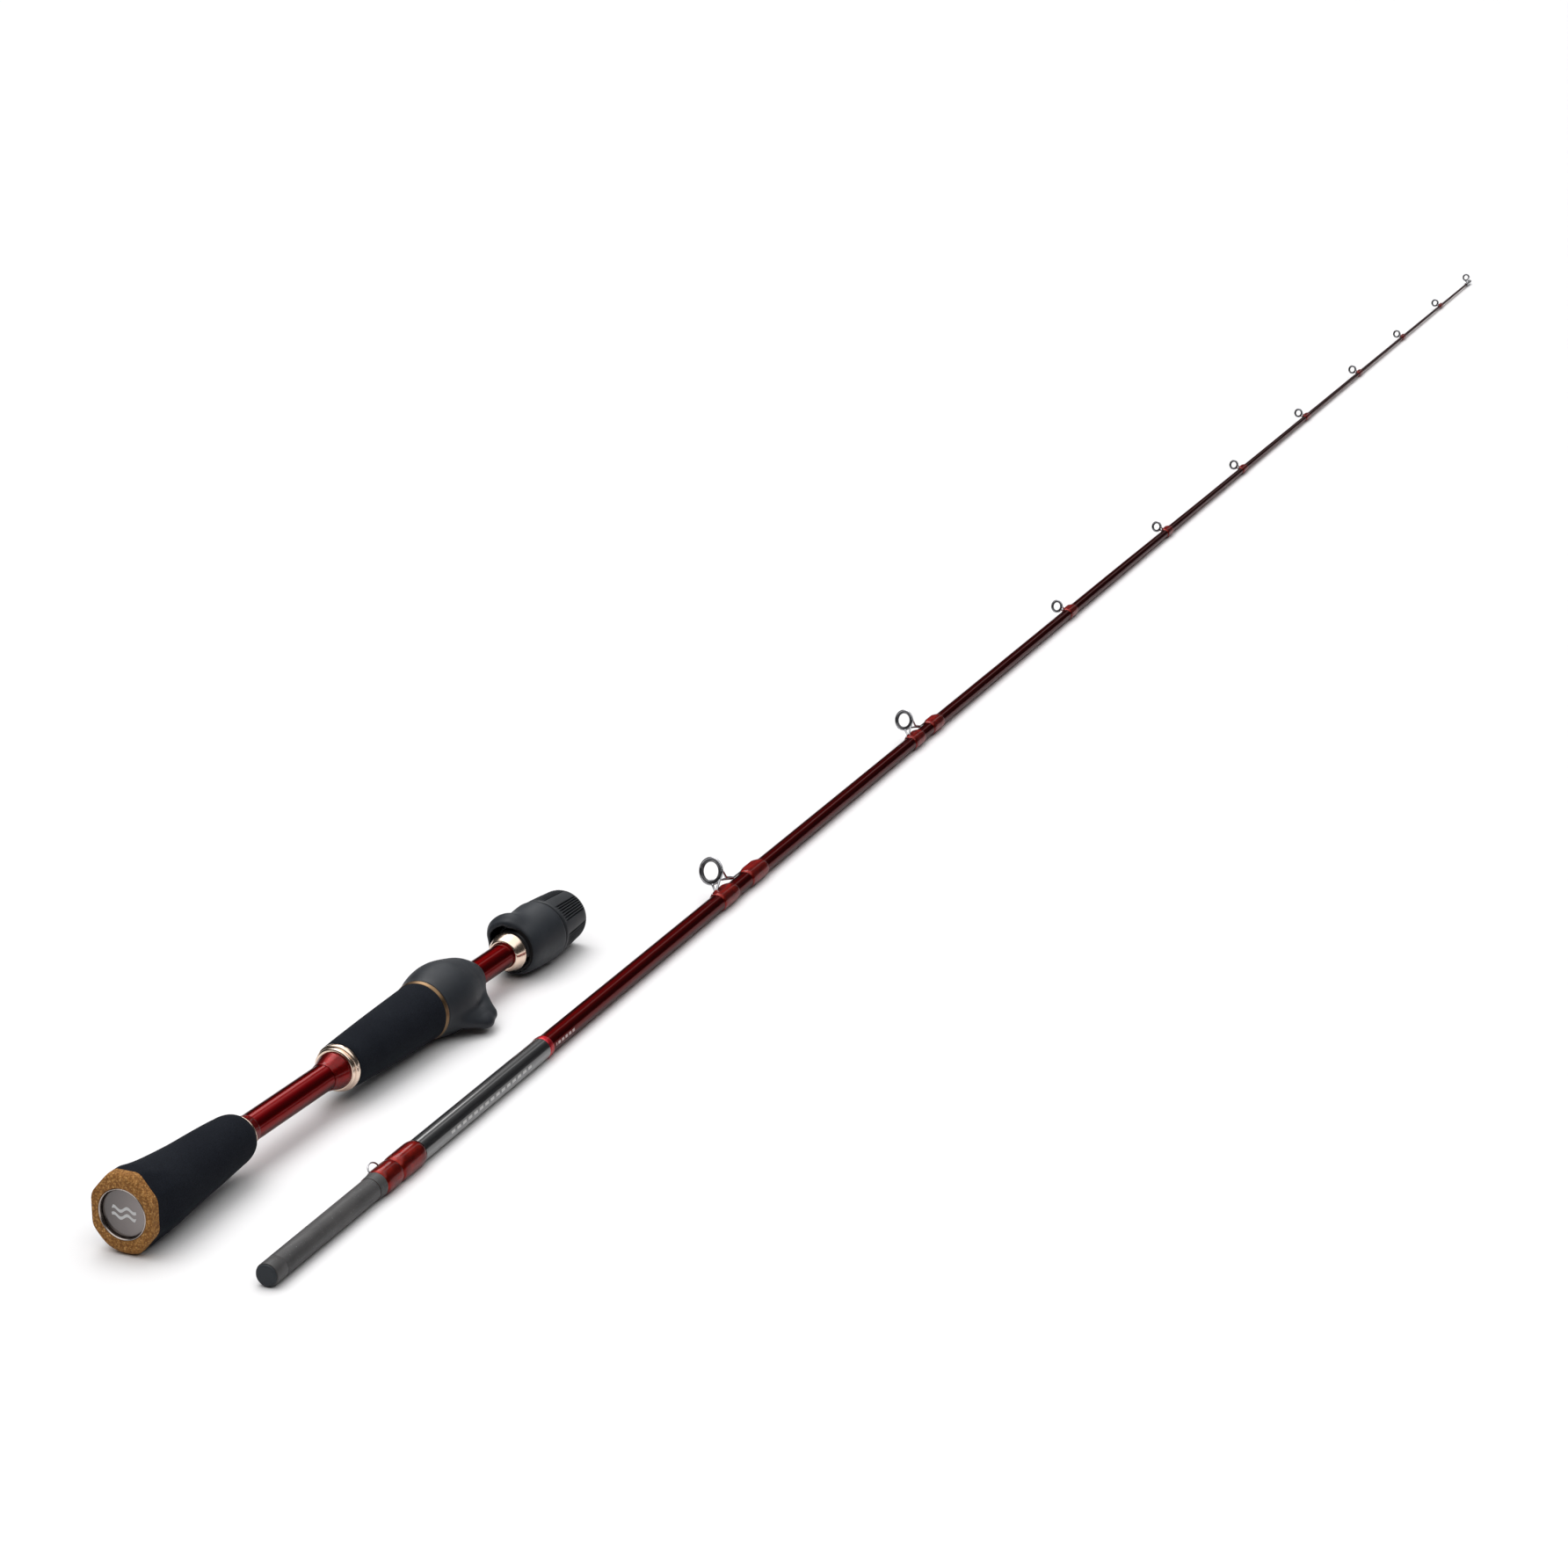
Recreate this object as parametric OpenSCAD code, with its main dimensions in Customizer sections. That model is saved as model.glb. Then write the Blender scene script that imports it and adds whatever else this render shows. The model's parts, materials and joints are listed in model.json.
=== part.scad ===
// Two-piece bait-casting rod with a trigger grip, taken apart, its sections laid side by side.
// Millimetres. The origin is the centre of the butt face and +Y runs along the handle.
// Each section is drawn upright on its own +Z axis and then laid down where it rests.

/* [Handle blank] */
// Outer radius of the blank inside the handle
blank_r = 5.3; // [5.15:0.05:5.35]
// Gap left between parts that slide or turn on each other
slide_gap = 0.05; // [0.03:0.01:0.08]
// Gap left between parts that are glued together
glue_gap = 0.03; // [0.02:0.01:0.04]

/* [Butt grip] */
// Largest radius of the butt
butt_r = 15.4; // [15:0.1:16]
// Half the width of the butt between its two side flats
butt_side = 12.1; // [11.8:0.1:13]
// Thickness of the cork cap on the butt
cap_t = 4.5; // [4:0.5:6]
// Radius of the round badge in the cork cap
badge_r = 9; // [8.5:0.1:9.6]
// Place where the butt grip ends
butt_grip_end = 74.5; // [72:0.5:78]

/* [Fore grip] */
// Place where the fore grip starts
fore_start = 145.5; // [142:0.5:150]
// Radius of the fore grip at its start
fore_r_rear = 9.5; // [9.4:0.1:10]
// Radius of the fore grip at the reel seat
fore_r_front = 12; // [11:0.1:12]

/* [Reel seat] */
// Place where the reel seat body starts
seat_start = 208; // [206:0.5:208]
// Place where the reel seat body ends
seat_end = 248; // [247:0.5:249]
// Angle of the trigger below the horizontal
trigger_angle = 24; // [20:1:35]
// Distance of the trigger tip from the handle axis
trigger_reach = 23; // [20:0.5:23]

/* [Hood and lock nut] */
// Outer radius of the thread on the barrel
thread_r = 8; // [7.8:0.1:8]
// Pitch of that thread
thread_pitch = 1.5; // [1:0.25:2]
// Outer radius of the sliding hood
hood_r = 12.9; // [12.5:0.1:13]
// Rear edge of the hood when the nut is slack
hood_start = 281.5; // [281:0.1:281.9]
// Front edge of the hood when the nut is slack
hood_end = 305; // [304.5:0.1:305]
// Front edge of the lock nut when it is slack
nut_end = 328.5; // [328:0.5:331]

/* [Tip section] */
// Radius of the male ferrule
spigot_r = 4.4; // [4.2:0.05:4.4]
// Length of the male ferrule that goes into the handle
spigot_len = 74; // [70:1:75]
// Length of the whole tip section
tip_len = 1864; // [1864:1:1870]
// Sideways lean of the tip section towards the handle's line
tip_yaw = 2.07; // [1.5:0.1:2.5]
// Rise of the tip section's axis
tip_pitch = 0.5; // [0.3:0.1:0.6]

/* [Line guides] */
// Direction of the guides above the horizontal
guide_roll = 52; // [40:1:60]
// Lean of the guide rings towards the tip
guide_lean = 20; // [0:1:25]

/* [Hidden] */
$fn = 96;
eps = 0.5;

foam_black = "#1d1f26";
soft_charcoal = "#3a3e44";
blank_red = "#7c1016";
thread_red = "#a8301f";
rose_gold = "#c9a88a";
guide_metal = "#8d9096";
ceramic_grey = "#3b3d42";

// ---- Handle sizes ----
bezel_r = badge_r + 0.65;
badge_pocket = 3;
check_r = 7.4;
badge_recess = 1.5;
blank_start = cap_t + 0.1;
bore_r = blank_r + glue_gap;
socket_r = spigot_r + slide_gap;
socket_len = spigot_len + 6;
trim_start = seat_start - 2;
fore_end = trim_start - 0.1;
arbor_r = 7.6;
arbor_end = 236;
barrel_start = hood_start - 1.5;
barrel_end = nut_end - 2;
barrel_clear_r = thread_r + slide_gap;
key_w = 2.2;
key_floor_r = thread_r - 1;
liner_r = 9.65;
coupling_r = 11;
nut_start = hood_end + 1.1;
nut_rear_r = 12.4;
nut_front_r = 11.2;
nut_face_r = 9.4;
nut_insert_end = nut_start + 16;

// ---- Tip section sizes ----
// Place of the male ferrule's end at rest, beside the handle
tip_at = [57.3, -1, -11.06];
// Places along the tip section and outer radii of the guide rings
guide_at = [398, 632.5, 861, 1044, 1207, 1361, 1504, 1633, 1754];
guide_r = [6.2, 5.1, 3.5, 3.2, 3.1, 3, 3, 2.9, 2.9];
double_foot_guides = 2;
collar_end = spigot_len + 5;
ferrule_wrap_end = collar_end + 12;
keeper_wrap_end = ferrule_wrap_end + 18;
sleeve_end = 213;
trim_band_end = sleeve_end + 3.5;
tenon_r = 3.2;
tenon_end = 111;
tip_top_at = tip_len - 4;
tip_table = [[spigot_len, 4.45], [keeper_wrap_end, 4.4], [sleeve_end, 4.2], [trim_band_end, 4.1],
    [960, 2.6], [1600, 1.1], [tip_top_at, 0.75]];
function tip_r(at) = lookup(at, tip_table);
function wire_r(ring_r) = 0.2 + 0.055 * ring_r;
function ring_height(i) = tip_r(guide_at[i]) + guide_r[i] + (i < double_foot_guides ? 2.4 : 0.5);

// ---- Shared shapes ----
module on_handle() {
    rotate([-90, 0, 0]) children();
}

module on_tip() {
    translate(tip_at) rotate([0, 0, tip_yaw]) rotate([tip_pitch, 0, 0])
        rotate([-90, 0, 0]) children();
}

module tube(r_in, r_out, from, to) {
    translate([0, 0, from]) difference() {
        cylinder(r = r_out, h = to - from);
        translate([0, 0, -eps]) cylinder(r = r_in, h = to - from + 2 * eps);
    }
}

module spun(outline) {
    rotate_extrude() polygon(outline);
}

// A square bar between two points, with its ends carried on a little
module bar(a, b, half, carry = 0.1) {
    d = b - a;
    span = norm(d);
    translate(a) rotate([0, acos(d[2] / span), atan2(d[1], d[0])])
        translate([-half, -half, -carry]) cube([2 * half, 2 * half, span + 2 * carry]);
}

// Points of a quarter ellipse from (r_out, from) round to (r_in, to)
function rounding(r_out, r_in, from, to, steps = 8) = [for (i = [0 : steps])
    [r_in + (r_out - r_in) * cos(90 * i / steps), from + (to - from) * sin(90 * i / steps)]];

// ---- Butt ----
butt_flats = 8;
flat_reach = butt_r - 0.6;
flat_corner_r = 6;
squeeze = butt_side / flat_reach;
corner_reach = (flat_reach - flat_corner_r) / cos(180 / butt_flats);
butt_outline = [for (i = [0 : butt_flats - 1]) for (j = [-2 : 2])
    let (a = (i + 0.5) * 360 / butt_flats, b = a + j * 90 / butt_flats)
    [squeeze * (corner_reach * cos(a) + flat_corner_r * cos(b)),
        corner_reach * sin(a) + flat_corner_r * sin(b)]];

module faceted_butt() {
    intersection() {
        children();
        translate([0, 0, -1]) linear_extrude(height = butt_grip_end + 2) polygon(butt_outline);
    }
}

module butt_badge() {
    thickness = badge_pocket - badge_recess - 0.2;
    color("#7d706c") on_handle()
        translate([0, 0, badge_recess]) cylinder(r = badge_r - glue_gap, h = thickness);
}

module badge_bezel() {
    color("#d8d2cc") on_handle() spun([
        [badge_r, 0.4], [badge_r + 0.25, 0.05], [bezel_r - 0.2, 0.05], [bezel_r, 0.25],
        [bezel_r, badge_pocket - glue_gap], [badge_r, badge_pocket - glue_gap]]);
}

module butt_cap() {
    edge_r = 2.8;
    edge_t = 3.2;
    face_r = butt_r - edge_r;
    color("#a9743a") on_handle() faceted_butt() difference() {
        spun(concat([[0, 0], [face_r, 0]],
            [for (i = [0 : 8]) [face_r + edge_r * sin(90 * i / 8), edge_t * (1 - cos(90 * i / 8))]],
            [[butt_r, cap_t], [0, cap_t]]));
        translate([0, 0, -eps]) cylinder(r = bezel_r + glue_gap, h = badge_pocket + eps);
    }
}

module butt_grip() {
    shoulder = butt_grip_end - 9;
    neck_r = 10.2;
    color(foam_black) on_handle() faceted_butt() difference() {
        spun(concat([[0, cap_t + glue_gap], [butt_r, cap_t + glue_gap], [butt_r, 8]],
            rounding(neck_r, check_r - 0.4, shoulder, butt_grip_end), [[0, butt_grip_end]]));
        cylinder(r = bore_r, h = butt_grip_end + eps);
    }
}

module butt_grip_check() {
    at = butt_grip_end + glue_gap;
    color(rose_gold) on_handle() tube(bore_r, check_r, at, at + 1.2);
}

module butt_grip_wrap() {
    at = butt_grip_end + 1.3;
    color(thread_red) on_handle() difference() {
        spun([[0, at], [6.2, at], [5.9, at + 1.5], [5.55, at + 5], [0, at + 5]]);
        translate([0, 0, at - eps]) cylinder(r = bore_r, h = 5 + 2 * eps);
    }
}

// ---- Handle blank and fore grip ----
module handle_blank() {
    color(blank_red) on_handle() difference() {
        translate([0, 0, blank_start]) cylinder(r = blank_r, h = nut_end - blank_start);
        translate([0, 0, nut_end - socket_len]) cylinder(r = socket_r, h = socket_len + eps);
        translate([0, 0, blank_start - eps])
            cylinder(r = socket_r - 0.9, h = nut_end - socket_len - blank_start + 2 * eps);
    }
}

module fore_wrap() {
    end = fore_start - 4.4;
    color(thread_red) on_handle() difference() {
        spun([[0, end - 8], [5.5, end - 8], [5.7, end - 7], [6.4, end - 3.5], [7.4, end], [0, end]]);
        translate([0, 0, end - 9]) cylinder(r = bore_r, h = 10);
    }
}

module fore_grip_check() {
    at = fore_start - 4.3;
    color(rose_gold) on_handle() spun([
        [bore_r, at], [8.2, at], [8.6, at + 0.4], [8.6, at + 1.1], [8.2, at + 1.3],
        [8.2, at + 1.7], [8.9, at + 1.9], [9.3, at + 2.4], [9.3, at + 3.8], [9.1, at + 4.2],
        [bore_r, at + 4.2]]);
}

module fore_grip() {
    color(foam_black) on_handle() spun(concat(
        [[bore_r, fore_start], [fore_r_rear - 0.5, fore_start], [fore_r_rear, fore_start + 0.8]],
        [[fore_r_front, fore_end], [bore_r, fore_end]]));
}

module seat_trim_ring() {
    color(rose_gold) on_handle() spun([
        [bore_r, trim_start], [fore_r_front, trim_start], [fore_r_front + 0.25, trim_start + 0.4],
        [fore_r_front + 0.25, trim_start + 1.5], [fore_r_front, trim_start + 1.9],
        [bore_r, trim_start + 1.9]]);
}

// ---- Reel seat ----
module on_trigger_side() {
    rotate([0, 0, trigger_angle]) children();
}

module on_reel_side() {
    rotate([0, 0, trigger_angle + 180]) children();
}

module seat_shell() {
    hull($fn = 32) {
        translate([0, 0, seat_start]) cylinder(r = 12.3, h = 2, $fn = 64);
        on_reel_side() translate([3.8, 0, seat_start + 15.5]) sphere(r = 11.6, $fn = 40);
        translate([0, 0, seat_start + 24]) sphere(r = 11.4, $fn = 40);
        translate([0, 0, seat_end - 3]) cylinder(r = 6.9, h = 3, $fn = 40);
    }
}

module fin_ball(reach, along, r, thin) {
    translate([reach, 0, seat_start + along]) scale([1, thin, 1]) sphere(r = r, $fn = 32);
}

module trigger_fin() {
    tip_round = 5;
    on_trigger_side() hull() {
        fin_ball(trigger_reach - tip_round, 18, tip_round, 0.5);
        fin_ball(trigger_reach - tip_round - 1.3, 22, tip_round, 0.5);
        fin_ball(8, 7, 6.3, 0.8);
        fin_ball(6, 28, 6, 0.8);
    }
}

// Crescent slot that takes one end of a reel foot
module foot_slot(r_in, r_out, from, to, width = 17) {
    on_reel_side() intersection() {
        tube(r_in, r_out, from, to);
        translate([0, -width / 2, from - eps]) cube([r_out + 1, width, to - from + 2 * eps]);
    }
}

module trigger_seat() {
    color(soft_charcoal) on_handle() difference() {
        union() {
            seat_shell();
            trigger_fin();
        }
        translate([0, 0, seat_start - 5]) cylinder(r = bore_r, h = seat_end - seat_start + 10);
        translate([0, 0, seat_start - 5]) cylinder(r = arbor_r + glue_gap, h = arbor_end - seat_start + 5);
        translate([0, 0, seat_start - 10]) cylinder(r = 20, h = 10);
        foot_slot(9.2, 12, seat_start + 17, seat_end + 2);
    }
}

module seat_arbor() {
    color("#b9b4a6") on_handle() tube(bore_r, arbor_r, seat_start + 0.1, arbor_end - 0.1);
}

module barrel_check() {
    at = barrel_start - 6.1;
    color(rose_gold) on_handle() spun([
        [bore_r, at], [5.9, at], [6.7, at + 1], [8, at + 4.4], [8.2, at + 5.2], [7.8, at + 6],
        [bore_r, at + 6]]);
}

module threaded_barrel() {
    turns = floor((barrel_end - barrel_start - 3) / thread_pitch);
    root_r = thread_r - 0.45;
    color("#26282c") on_handle() difference() {
        spun(concat([[bore_r, barrel_start], [root_r, barrel_start]],
            [for (i = [0 : turns - 1]) let (at = barrel_start + 1.5 + i * thread_pitch)
                each [[root_r, at], [thread_r, at + 0.35 * thread_pitch],
                    [thread_r, at + 0.55 * thread_pitch], [root_r, at + 0.9 * thread_pitch]]],
            [[root_r, barrel_end], [bore_r, barrel_end]]));
        on_trigger_side() translate([key_floor_r, -key_w / 2 - 0.1, barrel_start - eps])
            cube([3, key_w + 0.2, barrel_end - barrel_start + 2 * eps]);
    }
}

// ---- Sliding hood ----
module hood_shell() {
    spun(concat([[0, hood_start], [liner_r + 0.4, hood_start]],
        [for (i = [0 : 6]) [liner_r + 0.6 + (hood_r - liner_r - 0.6) * sin(15 * i),
            hood_start + 6 - 5.8 * cos(15 * i)]],
        [[hood_r, hood_end - 0.5], [hood_r - 0.5, hood_end], [0, hood_end]]));
}

module hood_lip() {
    hull() for (side = [-34, 0, 34]) {
        rotate([0, 0, trigger_angle + 180 + side]) translate([10.8, 0, hood_start + 1.5])
            sphere(r = 4.4, $fn = 28);
        rotate([0, 0, trigger_angle + 180 + side]) translate([8.4, 0, hood_start + 19])
            sphere(r = 4, $fn = 28);
    }
}

module sliding_hood() {
    color(soft_charcoal) on_handle() {
        difference() {
            union() {
                hood_shell();
                hood_lip();
            }
            translate([0, 0, hood_start - 10]) cylinder(r = 8.35, h = 40);
            translate([0, 0, hood_start - 10]) cylinder(r = liner_r + glue_gap, h = 15);
            foot_slot(9.2, 13, hood_start - 10, hood_start + 14);
        }
        on_trigger_side() translate([key_floor_r + 0.1, -key_w / 2, hood_start + 12])
            cube([8.6 - key_floor_r, key_w, hood_end - hood_start - 12.5]);
    }
}

module hood_liner() {
    color("#141518") on_handle() difference() {
        tube(8.4, liner_r, hood_start + 0.2, hood_start + 4.9);
        foot_slot(8.3, 13, hood_start - 1, hood_start + 6, 17.2);
    }
}

module hood_coupling_ring() {
    color("#141518") on_handle() tube(8.4, coupling_r, hood_end + glue_gap, nut_start - slide_gap);
}

// ---- Lock nut ----
rib_groups = 6;
ribs_per_group = 7;
rib_step = 5;

module lock_nut() {
    taper = atan((nut_rear_r - nut_front_r) / (nut_end - 6 - nut_start));
    color("#2c3036") on_handle() difference() {
        spun(concat([[0, nut_start], [nut_rear_r - 0.4, nut_start], [nut_rear_r, nut_start + 0.5]],
            rounding(nut_front_r, nut_face_r, nut_end - 6, nut_end), [[0, nut_end]]));
        translate([0, 0, nut_start - eps]) cylinder(r = barrel_clear_r + 0.1, h = 40);
        translate([0, 0, nut_start - eps])
            cylinder(r = barrel_clear_r + 1.4, h = nut_insert_end - nut_start + eps);
        for (g = [0 : rib_groups - 1]) for (k = [0 : ribs_per_group - 1])
            rotate([0, 0, g * 360 / rib_groups + k * rib_step])
                translate([nut_rear_r + 0.12, 0, nut_start + 1.5]) rotate([0, -taper, 0])
                    cylinder(r = 0.35, h = nut_end - nut_start, $fn = 16);
    }
}

module nut_insert() {
    color("#8a8578") on_handle()
        tube(barrel_clear_r, barrel_clear_r + 1.4 - glue_gap, nut_start + 0.1, nut_insert_end - glue_gap);
}

// ---- Male ferrule ----
module male_ferrule() {
    plug_lip = 0.8;
    color("#47484b") on_tip() difference() {
        spun([[0, plug_lip], [spigot_r - 0.3, plug_lip], [spigot_r, plug_lip + 0.3],
            [spigot_r, spigot_len], [tenon_r, spigot_len], [tenon_r, tenon_end], [0, tenon_end]]);
        translate([0, 0, plug_lip - eps]) cylinder(r = 2.4, h = tenon_end + 2 * eps);
    }
}

module ferrule_plug() {
    color("#1b1c1f") on_tip() spun([[0, 0], [spigot_r - 0.7, 0], [spigot_r - 0.35, 0.3],
        [spigot_r - 0.35, 0.77], [2.37, 0.77], [2.37, 6], [0, 6]]);
}

module ferrule_collar() {
    color("#3a3b38") on_tip() difference() {
        spun([[0, spigot_len + 0.1], [4.6, spigot_len + 0.1], [4.85, spigot_len + 0.6],
            [4.85, collar_end], [0, collar_end]]);
        translate([0, 0, spigot_len - 1]) cylinder(r = tip_r(spigot_len) + glue_gap, h = 8);
    }
}

// ---- Thread wraps ----
// A coat of thread with a crowned outline round the tip blank
module thread_coat(from, to, thick) {
    r0 = tip_r(from);
    r1 = tip_r(to);
    spun(concat([[0, from]],
        [for (i = [0 : 8]) let (u = i / 8)
            [r0 + (r1 - r0) * u + thick * (0.35 + 0.65 * pow(sin(180 * u), 0.5)), from + (to - from) * u]],
        [[0, to]]));
}

module blank_clearance(from, to) {
    translate([0, 0, from - eps]) cylinder(r = tip_r(from) + glue_gap, h = to - from + 2 * eps);
}

module keeper_wire(extra = 0) {
    wire_radius = 0.35;
    loop_r = 3.3;
    rotate([0, 0, 180 + guide_roll]) translate([tip_r(85) + 0.45, 0, collar_end + 3.9])
        rotate([0, -90, -90]) rotate_extrude(angle = 180)
            translate([loop_r, 0]) circle(r = wire_radius + extra, $fn = 24);
}

module ferrule_wrap() {
    color(thread_red) on_tip() difference() {
        thread_coat(collar_end + 0.1, ferrule_wrap_end, 0.75);
        blank_clearance(collar_end, ferrule_wrap_end);
        keeper_wire(glue_gap);
    }
}

module keeper_wrap() {
    color(thread_red) on_tip() difference() {
        thread_coat(ferrule_wrap_end + 0.1, keeper_wrap_end, 0.8);
        blank_clearance(ferrule_wrap_end, keeper_wrap_end);
    }
}

module hook_keeper() {
    color(guide_metal) on_tip() keeper_wire();
}

module lacquer_sleeve() {
    from = keeper_wrap_end + 0.1;
    color("#111214") on_tip() difference() {
        spun([[0, from], [tip_r(from) + 0.25, from],
            [tip_r(sleeve_end) + 0.25, sleeve_end], [0, sleeve_end]]);
        spun([[0, from - 1], [tip_r(from) + glue_gap, from - 1],
            [tip_r(sleeve_end) + glue_gap, sleeve_end + 1], [0, sleeve_end + 1]]);
    }
}

module sleeve_trim_band() {
    color("#c4283a") on_tip() difference() {
        thread_coat(sleeve_end + 0.1, trim_band_end, 0.4);
        blank_clearance(sleeve_end, trim_band_end);
    }
}

// ---- Tip blank: hollow at the butt end, solid at the tip ----
hollow_end = 1500;
wall = 1;

module tip_blank() {
    bore = tenon_r + glue_gap;
    color(blank_red) on_tip() spun(concat(
        [[bore, spigot_len + 0.1], [tip_r(spigot_len), spigot_len + 0.1]],
        [for (k = [1 : len(tip_table) - 1]) [tip_table[k][1], tip_table[k][0]]],
        [[0, tip_top_at], [0, hollow_end], [tip_r(hollow_end) - wall, hollow_end],
            [2.6 - wall, 960], [3, tenon_end + 2], [bore, tenon_end + 2]]));
}

// ---- Line guides ----
// Guide parts are drawn with +X pointing away from the blank and the ring centre at z = 0
module at_guide(i) {
    on_tip() translate([0, 0, guide_at[i]]) rotate([0, 0, 180 + guide_roll]) children();
}

module leaning(h) {
    translate([h, 0, 0]) rotate([0, -guide_lean, 0]) children();
}

// Point on the wire of a ring at an angle from its foot, a little ahead of the wire's centre line
function on_ring(h, ring_r, a) = let (w = wire_r(ring_r), r = ring_r - 0.75 * w, ahead = 0.4 * w) [
    h - r * cos(a) * cos(guide_lean) - ahead * sin(guide_lean), r * sin(a),
    -r * cos(a) * sin(guide_lean) + ahead * cos(guide_lean)];

module ring_hoop(ring_r, h) {
    w = wire_r(ring_r);
    leaning(h) rotate_extrude() translate([ring_r - w, 0]) circle(r = w, $fn = 24);
}

module ring_insert(ring_r, h) {
    out = ring_r - 2 * wire_r(ring_r) + 0.1;
    rim = 0.16 * ring_r + 0.15;
    half = 0.13 * ring_r + 0.15;
    leaning(h) rotate_extrude() polygon([[out - rim + 0.1, -half + 0.15], [out - rim, -half + 0.35],
        [out - rim, half - 0.35], [out - rim + 0.1, half - 0.15], [out - rim / 2, half],
        [out - 0.15, half * 0.6], [out - 0.15, -half * 0.6], [out - rim / 2, -half]]);
}

// Feet and legs of a guide with a foot on each side of its ring
module double_foot_bars(i, extra) {
    r = guide_r[i];
    h = ring_height(i);
    w = wire_r(r);
    half = 0.9 * w + extra;
    b = tip_r(guide_at[i] - 2 * r) + glue_gap + w + 0.03;
    knee = [b + 0.42 * r, 0, 0.85 * r];
    bar([b, 0, -1.3 * r], on_ring(h, r, 0), 0.8 * half);
    bar([b, 0, -1.6 * r], [b, 0, 0.4 * r], half, extra);
    for (s = [-1, 1]) {
        spread = [0, 0.2 * s * r, 0];
        bar(on_ring(h, r, 65 * s), knee + spread, 0.8 * half);
        bar(knee + spread, [b, 0.1 * s * r, 1.9 * r], 0.75 * half);
    }
    bar([b, 0, 1.8 * r], [b, 0, 5.6 * r], half, extra);
}

// Legs and foot of a guide with one foot on the tip side of its ring
module single_foot_bars(i, extra) {
    r = guide_r[i];
    h = ring_height(i);
    w = wire_r(r);
    half = 0.9 * w + extra;
    b = tip_r(guide_at[i]) + glue_gap + w + 0.03;
    for (s = [-1, 1])
        bar(on_ring(h, r, 60 * s), [b, 0.1 * s * r, 1.4 * r], 0.8 * half);
    bar([b, 0, 1.2 * r], [b, 0, 3.9 * r], half, extra);
}

module guide_bars(i, extra = 0) {
    if (i < double_foot_guides) double_foot_bars(i, extra);
    else single_foot_bars(i, extra);
}

module guide_frame(i) {
    color(guide_metal) at_guide(i) {
        ring_hoop(guide_r[i], ring_height(i));
        guide_bars(i);
    }
}

module guide_ring(i) {
    color(ceramic_grey) at_guide(i) ring_insert(guide_r[i], ring_height(i));
}

// A coat of thread over one foot of guide i, from and to measured from its ring
module foot_wrap(i, from, to) {
    a = guide_at[i] + from;
    b = guide_at[i] + to;
    foot_r = tip_r(a) + glue_gap + wire_r(guide_r[i]);
    cover = wire_r(guide_r[i]) + 0.4;
    translate([0, 0, -guide_at[i]]) difference() {
        union() {
            thread_coat(a, b, 0.45);
            intersection() {
                thread_coat(a, b, 2 * cover);
                translate([foot_r, 0, a]) cylinder(r = cover, h = b - a);
            }
        }
        blank_clearance(a, b);
    }
}

module guide_wraps(i) {
    r = guide_r[i];
    color(thread_red) at_guide(i) difference() {
        if (i < double_foot_guides) {
            foot_wrap(i, -1.85 * r, 0.8 * r);
            foot_wrap(i, 3.2 * r, 6.1 * r);
        } else {
            foot_wrap(i, 0.9 * r + 0.6, 4.2 * r + 0.6);
        }
        guide_bars(i, glue_gap);
    }
}

top_ring_r = 2.9;
top_ring_h = 0.75 + top_ring_r + 0.6;

module at_tip_top() {
    on_tip() translate([0, 0, tip_top_at]) rotate([0, 0, 180 + guide_roll]) children();
}

module tip_top_frame() {
    w = wire_r(top_ring_r);
    color(guide_metal) at_tip_top() difference() {
        union() {
            ring_hoop(top_ring_r, top_ring_h);
            translate([0, 0, -11]) cylinder(r = 1.35, h = 13.5);
            for (s = [-1, 1])
                bar(on_ring(top_ring_h, top_ring_r, 50 * s), [1.1, 0.4 * s, -5], 0.8 * w);
            bar([0.4, 0, 1.5], on_ring(top_ring_h, top_ring_r, 0), 0.8 * w);
        }
        translate([0, 0, -11 - eps]) cylinder(r = 0.84, h = 11.5 + eps);
    }
}

module tip_top_ring() {
    color(ceramic_grey) at_tip_top() ring_insert(top_ring_r, top_ring_h);
}

butt_badge();
badge_bezel();
butt_cap();
butt_grip();
butt_grip_check();
butt_grip_wrap();
handle_blank();
fore_wrap();
fore_grip_check();
fore_grip();
seat_trim_ring();
trigger_seat();
seat_arbor();
barrel_check();
threaded_barrel();
sliding_hood();
hood_liner();
hood_coupling_ring();
lock_nut();
nut_insert();
male_ferrule();
ferrule_plug();
ferrule_collar();
ferrule_wrap();
keeper_wrap();
hook_keeper();
lacquer_sleeve();
sleeve_trim_band();
tip_blank();
guide_frame(0);  // guide_1_frame
guide_frame(1);  // guide_2_frame
guide_frame(2);  // guide_3_frame
guide_frame(3);  // guide_4_frame
guide_frame(4);  // guide_5_frame
guide_frame(5);  // guide_6_frame
guide_frame(6);  // guide_7_frame
guide_frame(7);  // guide_8_frame
guide_frame(8);  // guide_9_frame
tip_top_frame();
guide_ring(0);  // guide_1_ring
guide_ring(1);  // guide_2_ring
guide_ring(2);  // guide_3_ring
guide_ring(3);  // guide_4_ring
guide_ring(4);  // guide_5_ring
guide_ring(5);  // guide_6_ring
guide_ring(6);  // guide_7_ring
guide_ring(7);  // guide_8_ring
guide_ring(8);  // guide_9_ring
tip_top_ring();
guide_wraps(0);  // guide_1_wraps
guide_wraps(1);  // guide_2_wraps
guide_wraps(2);  // guide_3_wraps
guide_wraps(3);  // guide_4_wraps
guide_wraps(4);  // guide_5_wraps
guide_wraps(5);  // guide_6_wraps
guide_wraps(6);  // guide_7_wraps
guide_wraps(7);  // guide_8_wraps
guide_wraps(8);  // guide_9_wraps
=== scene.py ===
import json
import math

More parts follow.
